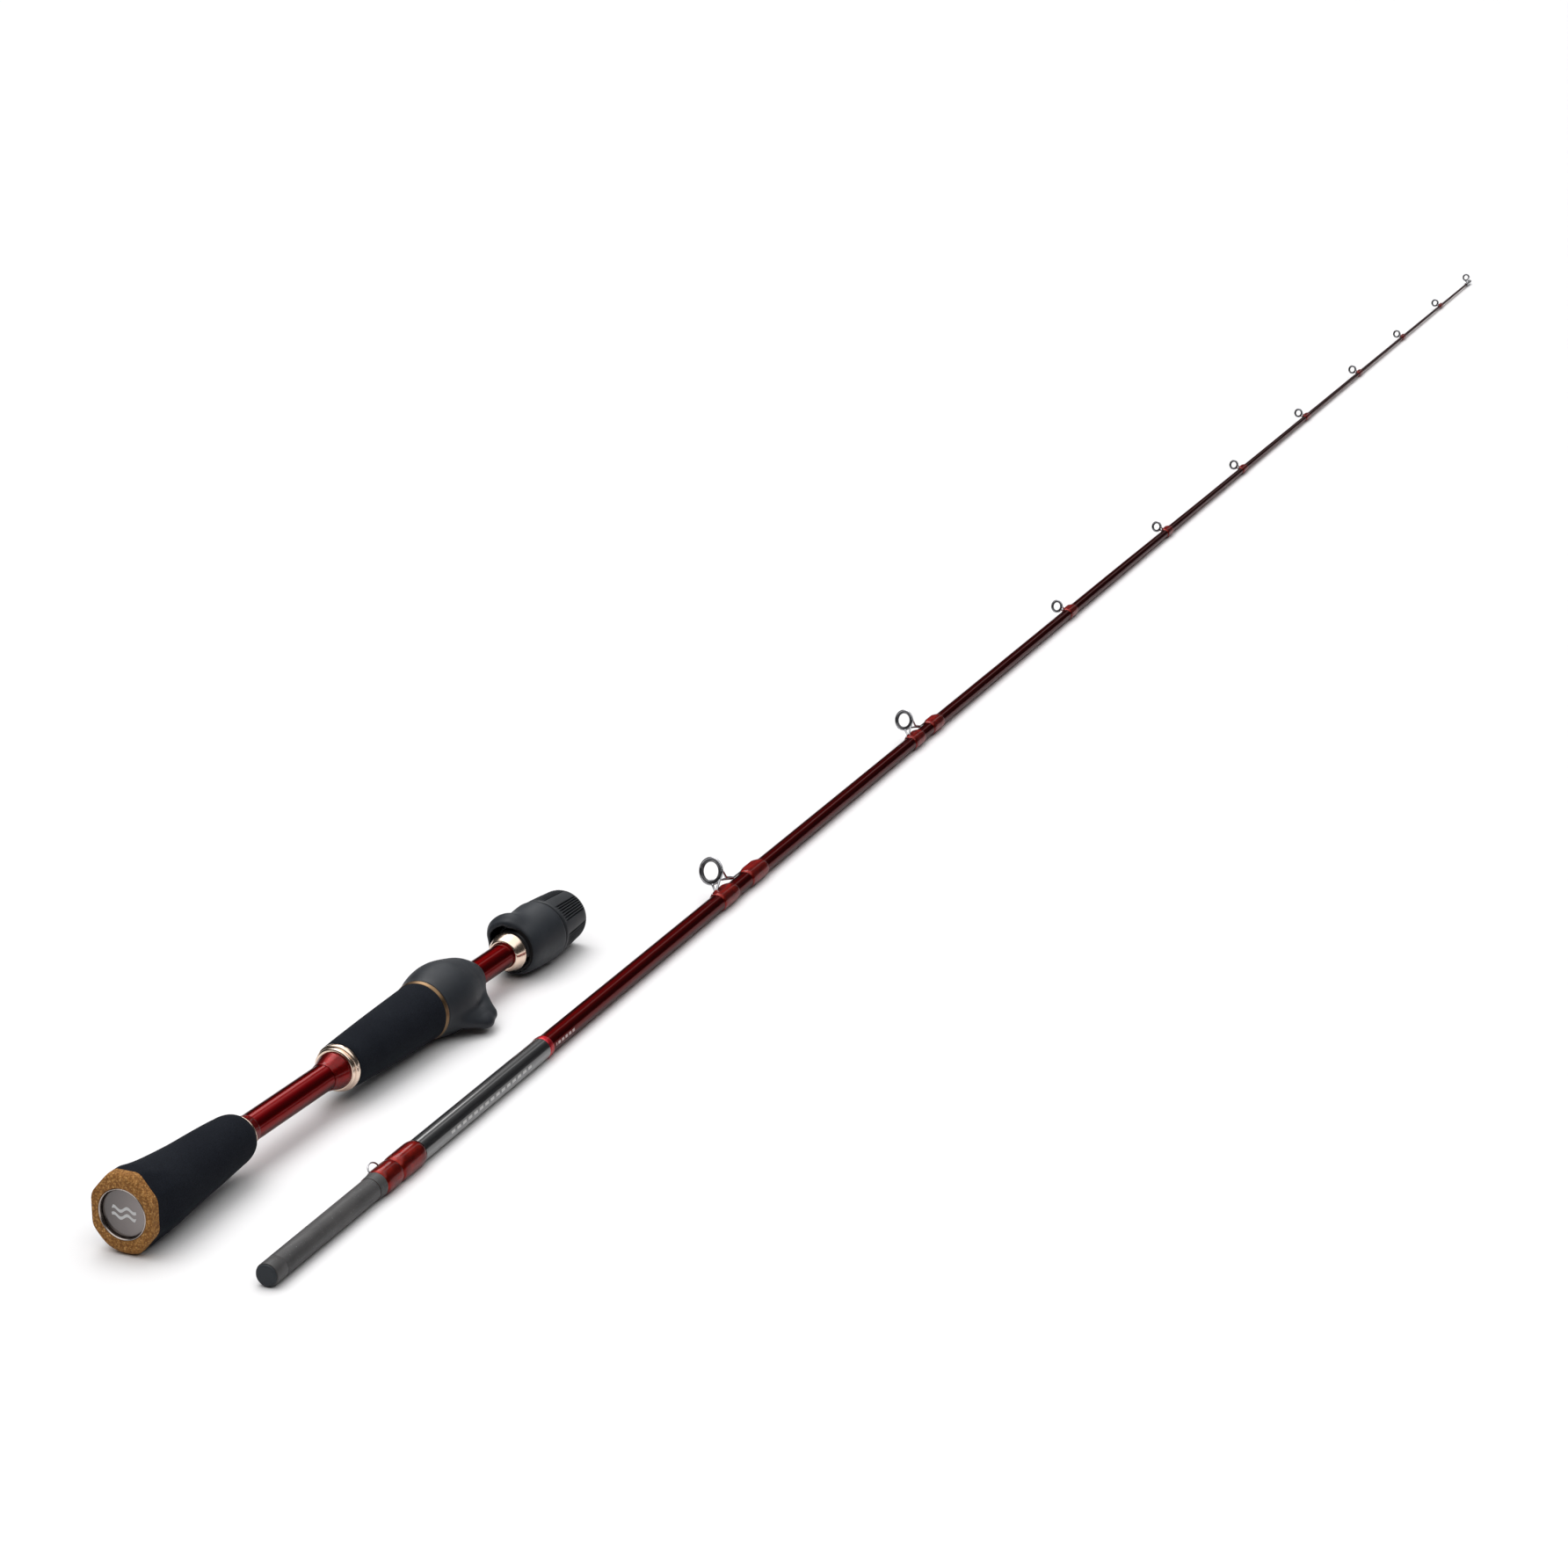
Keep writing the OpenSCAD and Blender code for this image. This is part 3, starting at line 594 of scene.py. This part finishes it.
# ---- The pieces of the handle ----
BLANK_R = radius("handle_blank")
BORE = BLANK_R + SLIP


def butt_pieces():
    cap_end = ends("butt_cap")[1]
    bezel_r = radius("badge_bezel")
    badge_r = radius("butt_badge")
    edge_t, edge_r, pocket = 3.4, 2.9, 2.9
    round_edge = [(BUTT_R - edge_r * (1 - math.sin(a)), edge_t * (1 - math.cos(a)))
                  for a in np.linspace(0, math.pi / 2, 14)]
    cap = [(0, cap_end), (0, pocket), (bezel_r + SLIP, pocket), (bezel_r + SLIP, 0.25),
           (bezel_r + 0.3, 0.0)]
    cap += round_edge + [(BUTT_R, cap_end)]
    shown(lathe("cork_cap", cap, HANDLE, 256, butt_shape), ["butt_cap"])
    bezel = [(badge_r + SLIP, pocket), (badge_r + SLIP, 0.35), (badge_r + 0.3, 0.06),
             (bezel_r - 0.25, 0.06), (bezel_r, 0.3), (bezel_r, pocket)]
    shown(lathe("bezel_ring", soften(bezel, 0.14), HANDLE), ["badge_bezel"])
    start, stop = ends("butt_badge")
    badge = [(0, stop), (0, start - 0.12), (badge_r * 0.6, start - 0.05), (badge_r - 0.4, start + 0.05),
             (badge_r, start + 0.4), (badge_r, stop)]
    shown(lathe("badge_disc", soften(badge, 0.15), HANDLE), ["butt_badge"])


UPPER_GRIP = [(4, 15.4), (8, 15.0), (14, 13.8), (20, 12.9), (26, 12.3), (32, 11.8), (40, 11.25), (50, 10.85),
              (60, 10.35), (65.5, 9.95), (70, 9.3)]
LOWER_GRIP = [(4, 15.4), (8, 15.2), (14, 14.4), (20, 13.7), (28, 12.9), (36, 12.2), (44, 11.6), (52, 11.1),
              (60, 10.4), (65.5, 9.95), (70, 9.3)]
LOWER_SIDE = math.radians(50)


def grip_pieces():
    start, stop = ends("butt_grip")
    nose_t, end_r = 8, 7.1
    shoulder = stop - nose_t
    neck_r = float(bend(shoulder, UPPER_GRIP))
    flats_end, flats_fade = 24, 14
    in_bore = 6.5

    def grip_shape(r, angle, along):
        if r < in_bore or along > shoulder:
            return np.full_like(angle, r)
        share = 0.5 + 0.5 * np.cos(angle - LOWER_SIDE)
        wide = bend(along, UPPER_GRIP) * (1 - share) + bend(along, LOWER_GRIP) * share
        flats = np.clip((flats_end - along) / flats_fade, 0, 1)
        pressed = -smax(-wide, -butt_edge(angle), 0.15)
        return pressed * flats + wide * (1 - flats)

    side = [(bend(a, UPPER_GRIP), a) for a in along_steps(start, shoulder, 1.5)]
    nose = [(end_r + (neck_r - end_r) * math.cos(a), shoulder + nose_t * math.sin(a))
            for a in np.linspace(0.1, math.pi / 2, 12)]
    outline = [(BORE, stop), (BORE, start)] + side + nose
    shown(lathe("butt_grip_foam", outline, HANDLE, 192, grip_shape), ["butt_grip"])

    start, stop = ends("fore_grip")
    rear_r, front_r = 9.5, radius("fore_grip") - 0.15
    edge_t = 1.1
    outline = [(BORE, stop), (BORE, start), (rear_r - 0.9, start), (rear_r - 0.3, start + 0.3),
               (rear_r, start + edge_t)]
    swell = [(rear_r + (front_r - rear_r) * u ** 0.9 + 0.12 * math.sin(math.pi * u),
              start + edge_t + (stop - start - edge_t) * u)
             for u in np.linspace(0.04, 1, 24)]
    shown(lathe("fore_grip_foam", outline + swell, HANDLE, 160), ["fore_grip"])


def trim_pieces():
    start, stop = ends("butt_grip_check")
    edge = radius("butt_grip_check")
    ring = [(BORE, stop), (BORE, start), (edge - 0.2, start), (edge, start + 0.4), (edge, stop - 0.4),
            (edge - 0.3, stop)]
    shown(lathe("butt_grip_ring", soften(ring, 0.2), HANDLE), ["butt_grip_check"])

    start, stop = ends("butt_grip_wrap")
    flare = [(BORE, stop), (BORE, start), (6.1, start), (6.2, start + 0.3), (6.0, start + 1.3),
             (5.72, start + 3), (5.6, start + 4.4), (5.45, stop)]
    shown(lathe("butt_grip_thread", soften(flare, 0.4), HANDLE), ["butt_grip_wrap"])

    start, stop = ends("fore_wrap")
    cone = [(BORE, stop), (BORE, start), (5.45, start), (5.6, start + 0.4), (5.75, start + 1.4),
            (6.1, start + 2.8), (6.5, start + 4.3), (6.95, start + 5.9), (7.3, start + 7.2), (7.35, stop)]
    shown(lathe("fore_thread", soften(cone, 0.5), HANDLE), ["fore_wrap"])

    start, stop = ends("fore_grip_check")
    ring = [(BORE, stop), (BORE, start), (8.0, start), (8.55, start + 0.35), (8.6, start + 1.1),
            (8.1, start + 1.4), (8.1, start + 1.8), (8.8, start + 2.0), (9.3, start + 2.5),
            (9.3, start + 3.7), (9.0, stop)]
    shown(lathe("fore_grip_rings", soften(ring, 0.22), HANDLE), ["fore_grip_check"])

    start, stop = ends("seat_trim_ring")
    edge = radius("seat_trim_ring")
    ring = [(BORE, stop), (BORE, start - 0.05), (edge - 0.55, start - 0.05), (edge - 0.25, start + 0.3),
            (edge + 0.1, stop - 0.5), (edge, stop)]
    shown(lathe("seat_ring", soften(ring, 0.25), HANDLE, 160), ["seat_trim_ring"], "bronze")

    start, stop = ends("barrel_check")
    cone = [(BORE, stop), (BORE, start), (6.1, start), (6.5, start + 0.3), (7.15, start + 1.5),
            (7.85, start + 3.6), (8.2, start + 4.8), (8.2, stop - 0.6), (7.9, stop)]
    shown(lathe("barrel_cone", soften(cone, 0.35), HANDLE), ["barrel_check"])


def blank_pieces():
    start, stop = ends("handle_blank")
    socket_r, socket_len, narrow = 4.45, 80.0, 3.55
    tube = [(socket_r, stop), (socket_r, stop - socket_len), (narrow, stop - socket_len), (narrow, start),
            (BLANK_R, start)]
    tube += [(BLANK_R, a) for a in along_steps(start + 20, stop - 20, 20)]
    tube += [(BLANK_R, stop)]
    shown(lathe("handle_tube", tube, HANDLE, 160), ["handle_blank"])


# ---- Reel seat ----
SEAT_SIDE = [(207, 12.1), (210, 12.6), (214, 13.7), (220, 14.6), (225, 14.5), (230, 13.6), (234, 12.6),
             (238, 11.5), (242, 9.7), (245, 8.1), (248, 6.4)]


def seat_piece():
    start, stop = ends("trigger_seat")
    inner, inner_end = 7.63, 236.0
    slot_start, slot_in, slot_out, slot_half = start + 17, 9.2, 12.0, 8.5
    heel, front = (7.5, 0, start + 7), (8, 0, stop - 12)
    toe, tongue = (17.6, 0, start + 18.5), (15.8, 0, start + 23.5)

    def field(p):
        x, y, t = p[..., 0], p[..., 1], p[..., 2]
        out = np.hypot(x, y)
        body = (out - bend(t, SEAT_SIDE)) * 0.9
        thin = 1 - 0.42 * np.clip((x - 7) / 11, 0, 1) ** 0.8
        q = np.stack([x, y / thin, t], -1)
        fin = smin(rod(q, heel, toe, 6.8, 5.1), rod(q, toe, tongue, 5.1, 5.2), 0.8)
        fin = smin(fin, rod(q, front, tongue, 6.0, 5.2), 0.8) * 0.75
        solid = smin(body, fin, 1.2)
        solid = smax(solid, start - t, 0.5)
        solid = smax(solid, t - stop, 0.8)
        solid = np.maximum(solid, BORE - out)
        solid = np.maximum(solid, -np.maximum(out - inner, t - inner_end))
        slot = np.maximum.reduce([slot_in - out, out - slot_out, np.abs(y) - slot_half, x, slot_start - t])
        return smax(solid, -slot, 0.5)

    shown(sculpt("trigger_seat_body", field, (-17, -17, start - 1), (25, 17, stop + 1), 0.4, SEAT),
          ["trigger_seat"])


# ---- Hood and lock nut ----
LIP_RISE = [(277, 1.5), (280, 2.4), (283, 3.1), (285, 3.0), (288, 1.7), (291, 0.6), (294, 0.1), (297, 0.0),
            (306, 0.0)]
LIP_TURN = math.radians(36)
LIP_WIDTH = 0.75
LIP_REACH = 1.8
HOOD_SIDE = [(277, 10.3), (281.5, 10.5), (283, 11.1), (287, 11.9), (290, 12.15), (294, 12.45), (298, 12.75),
             (302, 13.0), (306, 13.1)]


def hood_piece():
    start, stop = ends("hood_liner")[0] - 0.2, ends("sliding_hood")[1]
    bore, liner_r, liner_len, wall = 8.35, 9.68, 5, 1.9
    slot_in, slot_half, slot_end = 9.3, 8.5, 295.0

    def field(p):
        x, y, t = p[..., 0], p[..., 1], p[..., 2]
        out = np.hypot(x, y)
        turn = np.arctan2(y, -x)
        lip = np.exp(-((turn + LIP_TURN) / LIP_WIDTH) ** 4)
        skin = bend(t, HOOD_SIDE) + bend(t, LIP_RISE) * lip
        body = (out - skin) * 0.92
        rear = (start - LIP_REACH * lip - t) * 0.8
        solid = smax(smax(body, rear, 1.0), t - stop, 1.0)
        solid = np.maximum(solid, bore - out)
        liner = np.maximum(out - liner_r, t - (start + liner_len))
        solid = np.maximum(solid, -liner)
        slot = np.maximum.reduce([slot_in - out, out - skin + wall, np.abs(y) - slot_half, x, t - slot_end])
        return smax(solid, -slot, 0.5)

    shown(sculpt("sliding_hood_body", field, (-18, -16, start - 5), (16, 16, stop + 1), 0.4, SEAT),
          ["sliding_hood"])


RIB_GROUPS = 6
RIBS_IN_GROUP = 7
RIB_STEP = 5.4
RIB_DEPTH = 1.0


def nut_piece():
    start, stop = ends("lock_nut")
    rear_r, front_r, face_r, inner = 12.6, 11.3, 9.4, 8.1
    ribs_start, ribs_stop = start + 2.2, stop - 0.6

    def shape(r, angle, along):
        radii = np.full_like(angle, r)
        if r < face_r + 0.2 or along < ribs_start or along > ribs_stop:
            return radii
        fade = min(1, (along - ribs_start) / 0.8, (ribs_stop - along) / 1.5)
        a = np.degrees(angle) % (360 / RIB_GROUPS)
        within = a < RIBS_IN_GROUP * RIB_STEP
        groove = np.where(within, 0.5 - 0.5 * np.cos(2 * np.pi * a / RIB_STEP), 0) ** 1.6
        return radii - RIB_DEPTH * fade * groove

    outline = [(inner, stop), (inner, start), (rear_r - 0.9, start), (rear_r - 0.25, start + 0.25),
               (rear_r, start + 0.9)]
    edge_t, nose_t = 1.2, 4.5
    body = [(rear_r + (front_r - rear_r) * u ** 1.25, start + edge_t + (stop - nose_t - edge_t - start) * u)
            for u in np.linspace(0, 1, 14)]
    nose = [(face_r + (front_r - face_r) * math.cos(a), stop - nose_t + nose_t * math.sin(a))
            for a in np.linspace(0.15, math.pi / 2, 12)]
    shown(lathe("lock_nut_body", outline + body + nose, HANDLE, 1008, shape, 50), ["lock_nut"])


# ---- Tip section ----
TIP_RADIUS = [(74, 4.45), (109, 4.4), (213, 4.2), (216.5, 4.1), (450, 3.6), (560, 3.35), (700, 3.05),
              (960, 2.6), (1120, 1.95), (1280, 1.6), (1440, 1.35), (1600, 1.1), (1860, 0.75)]


def blank_r(t):
    """Radius of the tip section's blank at t."""
    return np.interp(t, *np.array(TIP_RADIUS).T)


def ferrule_pieces():
    end, r, lip = 111.0, 4.4, 0.8
    tube = [(2.4, end), (2.4, lip), (r - 0.45, lip), (r - 0.12, lip + 0.12), (r, lip + 0.5), (r, 7.5),
            (r - 0.14, 7.75), (r - 0.14, 8.15), (r, 8.4), (r, 30), (r, 52), (r, 74), (3.2, 74), (3.2, end)]
    shown(lathe("ferrule_tube", tube, TIP, 128), ["male_ferrule"])
    plug = [(0, 6), (0, 0.05), (3.2, 0.0), (3.75, 0.12), (4.05, 0.45), (4.05, 0.77), (2.37, 0.77), (2.37, 6)]
    shown(lathe("ferrule_end_plug", soften(plug, 0.15), TIP, 128), ["ferrule_plug"], "plug")
    collar = [(4.48, 79), (4.48, 74.1), (4.52, 74.1), (4.62, 75), (4.78, 78.4), (4.78, 79)]
    shown(lathe("ferrule_ring", soften(collar, 0.15), TIP, 128), ["ferrule_collar"], "collar")


def coat_outline(start, stop, thick, steps=26):
    """Closed outline of an epoxy coat with rounded ends, lying on the tip blank."""
    under = [(blank_r(a) + 0.02, a) for a in (stop, start)]
    over = []
    for u in np.linspace(0, 1, steps):
        a = start + (stop - start) * u
        swell = (1 - abs(2 * u - 1) ** 6) ** 0.5
        over.append((blank_r(a) + 0.06 + (thick - 0.06) * swell, a))
    return under + over


def sleeve_pieces():
    shown(lathe("ferrule_thread", coat_outline(79.1, 91, 0.72), TIP), ["ferrule_wrap"], "tip_thread")
    shown(lathe("keeper_thread", coat_outline(91.1, 109, 0.82), TIP), ["keeper_wrap"], "tip_thread")
    steps = along_steps(109.1, 213, 6)
    sleeve = [(blank_r(a) + 0.02, a) for a in steps[::-1]] + [(blank_r(a) + 0.25, a) for a in steps]
    shown(lathe("black_sleeve", sleeve, TIP), ["lacquer_sleeve"])
    shown(lathe("sleeve_band", coat_outline(213.1, 216.5, 0.42), TIP), ["sleeve_trim_band"])

    centre, flatten, loop_r, wire_r = np.array([4.88, 0, 82.9]), np.array([1.35, 1, 1]), 3.3, 0.34

    def keeper(p):
        q = (p - centre) * flatten
        loop = (np.hypot(np.hypot(q[..., 0], q[..., 2]) - loop_r, q[..., 1]) - wire_r) * 0.8
        return np.maximum(loop, -q[..., 0] - 0.15)

    shown(sculpt("keeper_loop", keeper, (4.4, -1, 78.6), (9.2, 1, 87.2), 0.1, TIP), ["hook_keeper"])


def tip_tube_piece():
    start, stop, tenon = 74.1, 1860.0, 111.0
    steps = np.concatenate([along_steps(start, 230, 12), along_steps(250, stop, 15)])
    outline = [(0, stop), (0, 1500.0), (0.4, 1490.0), (1.6, 960.0), (3.0, tenon + 2), (3.23, tenon + 2),
               (3.23, start)]
    outline += [(blank_r(a), a) for a in steps]
    shown(lathe("tip_tube", outline, TIP, 96), ["tip_blank"], "tip_blank")


# ---- Line guides ----
LEAN = math.radians(20)
LEAN_AXIS = (-math.sin(LEAN), 0, math.cos(LEAN))
GUIDE_COUNT = 9
DOUBLE_FOOT = 2
GUIDE_RING_R = [6.2, 5.1, 3.5, 3.2, 3.1, 3.0, 3.0, 2.9, 2.9, 2.9]


def wire(r):
    """Wire radius of a guide frame whose ring has outside radius r."""
    return 0.2 + 0.055 * r


def on_ring(h, r, degrees):
    """A point on a leaning guide ring; 0 degrees is the point nearest the blank."""
    a = math.radians(degrees)
    return (h - r * math.cos(a) * math.cos(LEAN), r * math.sin(a), -r * math.cos(a) * math.sin(LEAN))


def guide_place(k):
    """The k-th guide's place, its distance along the section and its ring's height over the axis."""
    along, offset = tip_place_of(GUIDE_MOUNTS[k]["pos_m"])
    place = TIP.copy()
    place[:3, 3] += along * TIP_AXIS
    return place, along, float(np.linalg.norm(offset))


def foot(p, start, stop, height, w):
    """A flattened foot that thins out along the blank."""
    q = p * np.array([1.35, 0.8, 1.0])
    return rod(q, (height * 1.35, 0, start), (height * 1.35 - 0.2 * w, 0, stop), w, 0.55 * w) * 0.8


def guide_field(k, along, h):
    r = GUIDE_RING_R[k]
    w = wire(r)
    leg = 0.95 * w

    def double_foot(p):
        b = blank_r(along) + 0.75 * w + 0.05
        shape = hoop(p, (h, 0, 0), LEAN_AXIS, r - w, w)
        parts = [rod(p, on_ring(h, r - w, 24), (b + 0.35, 0.5, -0.95 * r), leg, 0.9 * leg),
                 rod(p, on_ring(h, r - w, -24), (b + 0.35, -0.5, -0.95 * r), leg, 0.9 * leg),
                 foot(p, -1.7 * r, 0.1 * r, b, w)]
        for s in (-1, 1):
            knee = (b + 0.36 * r, 0.17 * s * r, 0.95 * r)
            parts.append(rod(p, on_ring(h, r - w, 68 * s), knee, leg))
            parts.append(rod(p, knee, (b + 0.1, 0.07 * s * r, 1.9 * r), leg, 0.95 * leg))
        parts.append(foot(p, 1.8 * r, 5.7 * r, b, w))
        for part in parts:
            shape = smin(shape, part, 0.35)
        return shape

    def single_foot(p):
        b = blank_r(along) + 0.75 * w + 0.05
        shape = hoop(p, (h, 0, 0), LEAN_AXIS, r - w, w)
        for s in (-1, 1):
            side_leg = rod(p, on_ring(h, r - w, 60 * s), (b + 0.1, 0.1 * s * r, 1.4 * r), leg)
            shape = smin(shape, side_leg, 0.25)
        return smin(shape, foot(p, 1.2 * r, 3.9 * r, b, w), 0.25)

    def tip_top(p):
        out = np.hypot(p[..., 0], p[..., 1])
        cup = smax(out - 1.35, np.maximum(-11 - p[..., 2], p[..., 2] - 2.5), 0.3)
        cup = np.maximum(cup, -np.maximum(out - 0.84, p[..., 2] - 0.5))
        shape = hoop(p, (h, 0, 0), LEAN_AXIS, r - w, w)
        for s in (-1, 1):
            shape = smin(shape, rod(p, on_ring(h, r - w, 50 * s), (1.25, 0.4 * s, -5), leg), 0.25)
        shape = smin(shape, rod(p, (0.9, 0, 1.4), on_ring(h, r - w, 0), leg), 0.25)
        return smin(shape, cup, 0.3)

    if k == GUIDE_COUNT:
        return tip_top
    return double_foot if k < DOUBLE_FOOT else single_foot


def wrap_piece(name, start, stop, foot_r, w):
    """Thread over one guide foot: round the blank, with a rounded rise where it covers the foot."""
    def shape(r, angle, along):
        base = blank_r(along)
        if r < base + 0.05:
            return np.full_like(angle, r)
        u = (along - start) / (stop - start)
        rise = (foot_r + w + 0.25 - r) * min(1, 4 * (1 - u), 3 * u + 0.25)
        off = (angle + np.pi) % (2 * np.pi) - np.pi
        return r + max(rise, 0) * np.exp(-(off * base / (1.25 * w + 0.35)) ** 2)

    return lathe(name, coat_outline(start, stop, 0.5), TIP, 144, shape)


def guide_span(k, r, along):
    """The lowest x and the stretch of z that hold a guide's frame, in its own place."""
    if k == GUIDE_COUNT:
        return -1.8, -11.6, 4.5
    under = blank_r(along) - 0.6
    return (under, -2 * r, 6.2 * r) if k < DOUBLE_FOOT else (under, -r, 4.3 * r)


def insert_section(r, w):
    """Section of the ceramic ring: flat against the frame and rounded towards the line."""
    out = r - 2 * w + 0.04
    rim = 0.16 * r + 0.15
    half = 0.13 * r + 0.15
    section = []
    for a in np.linspace(0, 2 * math.pi, 25)[:-1]:
        c = math.cos(a)
        bulge = (rim / 2 - 0.02) * c ** 3 if c > 0 else rim / 2 * c
        section.append((out - rim / 2 + bulge, half * math.sin(a)))
    return section[::-1]


def guide_pieces():
    c, s = math.cos(LEAN), math.sin(LEAN)
    margin = 0.6
    for k in range(len(GUIDE_MOUNTS)):
        place, along, h = guide_place(k)
        r = GUIDE_RING_R[k]
        w = wire(r)
        node = "tip_top" if k == GUIDE_COUNT else f"guide_{k + 1}"
        x_low, z_low, z_high = guide_span(k, r, along)
        frame_obj = sculpt(node + "_wire", guide_field(k, along, h), (x_low, -r - margin, z_low),
                           (h + r + margin, r + margin, z_high), 0.17 if k < DOUBLE_FOOT else 0.12, place)
        shown(frame_obj, [node + "_frame"])
        lean = axes_matrix((c, 0, s), (0, 1, 0), (-s, 0, c), (h, 0, 0))
        shown(lathe(node + "_insert", insert_section(r, w), place @ lean, 96), [node + "_ring"])

        if k == GUIDE_COUNT:
            continue
        foot_r = blank_r(along) + 0.75 * w
        spans = [(0.9 * r + 0.6, 4.2 * r + 0.6)]
        if k < DOUBLE_FOOT:
            spans = [(-1.85 * r, 0.8 * r), (3.2 * r, 6.1 * r)]
        wraps = [wrap_piece(f"guide_{k + 1}_thread_{n + 1}", along + a, along + b, foot_r, w)
                 for n, (a, b) in enumerate(spans)]
        for obj in wraps:
            shown(obj, [f"guide_{k + 1}_wraps"], "tip_thread")


# ---- Everything that stays as the CAD made it ----
def keep_nodes():
    for node, obj in frame["nodes"].items():
        if obj.hide_render:
            continue
        obj.data.materials.clear()
        obj.data.materials.append(LOOKS[slots[node]].material)


# ---- Floor, light and camera ----
FLOOR_RISE = math.radians(0.579)
FLOOR_AT = (0, 0.005, -0.0154)


def floor_piece():
    mesh = bpy.data.meshes.new("floor")
    size = 30.0
    corners = [(-size, -size, 0), (size, -size, 0), (size, size, 0), (-size, size, 0)]
    mesh.from_pydata(corners, [], [(0, 1, 2, 3)])
    floor = bpy.data.objects.new("floor", mesh)
    bpy.context.scene.collection.objects.link(floor)
    floor.matrix_world = Matrix.Translation(FLOOR_AT) @ Matrix.Rotation(FLOOR_RISE, 4, "X")
    k = Look("floor", (0.86, 0.855, 0.86), 0.55)
    k.set("Specular IOR Level", 0.2)
    k.bump(k.noise(60.0), 0.02)
    mesh.materials.append(k.material)


SKY_BY_HEIGHT = [(0.0, 0.04), (0.45, 0.05), (0.58, 0.12), (0.66, 1.1), (0.75, 1.55), (1.0, 1.55)]
STRIP_HALF_WIDTH = 0.07
STRIP_STRENGTH = 0.9
STRIP_BOTTOM = 0.09


def sky_light(scene):
    """A dark horizon under a bright ceiling, and one narrow upright lamp beyond the tip."""
    world = bpy.data.worlds.new("studio")
    scene.world = world
    world.use_nodes = True
    tree = world.node_tree
    nodes, links = tree.nodes, tree.links

    def maths(how, a, b):
        n = nodes.new("ShaderNodeMath")
        n.operation = how
        for socket, v in zip(n.inputs, (a, b)):
            if isinstance(v, bpy.types.NodeSocket):
                links.new(v, socket)
            else:
                socket.default_value = v
        return n.outputs[0]

    split = nodes.new("ShaderNodeSeparateXYZ")
    links.new(nodes.new("ShaderNodeTexCoord").outputs["Generated"], split.inputs[0])
    ramp = nodes.new("ShaderNodeValToRGB")
    links.new(split.outputs["Z"], ramp.inputs["Fac"])
    while len(ramp.color_ramp.elements) < len(SKY_BY_HEIGHT):
        ramp.color_ramp.elements.new(0.5)
    for e, (at, v) in zip(ramp.color_ramp.elements, SKY_BY_HEIGHT):
        e.position = at
        e.color = (v, v, v, 1)
    ahead = maths("MAXIMUM", split.outputs["Y"], 0.01)
    aside = maths("ABSOLUTE", maths("DIVIDE", split.outputs["X"], ahead), 0)
    strip = maths("MULTIPLY", maths("LESS_THAN", aside, STRIP_HALF_WIDTH),
                  maths("GREATER_THAN", split.outputs["Z"], STRIP_BOTTOM))
    total = maths("ADD", ramp.outputs["Color"], maths("MULTIPLY", strip, STRIP_STRENGTH))
    links.new(total, tree.nodes["Background"].inputs["Color"])


def sun_light(scene, name, towards, strength, angle, glossy_only=False):
    """A sun lamp that shines from the direction towards; a glossy-only one gives glints and no light."""
    sun = bpy.data.lights.new(name, "SUN")
    sun.energy = strength
    sun.angle = math.radians(angle)
    lamp = bpy.data.objects.new(name, sun)
    scene.collection.objects.link(lamp)
    z = np.array(towards) / np.linalg.norm(towards)
    x = np.cross((0, 1, 0), z)
    x /= np.linalg.norm(x)
    lamp.matrix_world = Matrix([[*row] for row in axes_matrix(x, np.cross(z, x), z, (0, 0, 3))])
    if glossy_only:
        lamp.visible_diffuse = False


def light_scene():
    scene = bpy.context.scene
    sky_light(scene)
    sun_light(scene, "key", (-0.32, 0.22, 1.0), 1.0, 40)
    sun_light(scene, "glint", (-0.35, 0.66, 0.62), 0.4, 22, glossy_only=True)
    scene.view_settings.view_transform = "Standard"


CAMERA_AT = (0.68657, -0.98321, 0.54286)
CAMERA_LOOK = np.array((-0.38797, 0.86722, -0.31211))
CAMERA_UP = np.array((-0.13143, 0.28311, 0.95004))
CAMERA_LENS = 86.77
SENSOR_WIDTH = 36


def add_camera():
    data = bpy.data.cameras.new("camera")
    data.lens = CAMERA_LENS
    data.sensor_width = SENSOR_WIDTH
    data.clip_end = 60
    camera = bpy.data.objects.new("camera", data)
    scene = bpy.context.scene
    scene.collection.objects.link(camera)
    right = np.cross(CAMERA_LOOK, CAMERA_UP)
    camera.matrix_world = Matrix([[*row] for row in axes_matrix(right, CAMERA_UP, -CAMERA_LOOK, CAMERA_AT)])
    scene.camera = camera


butt_pieces()
grip_pieces()
trim_pieces()
blank_pieces()
seat_piece()
hood_piece()
nut_piece()
ferrule_pieces()
sleeve_pieces()
tip_tube_piece()
guide_pieces()
keep_nodes()
floor_piece()
light_scene()
add_camera()
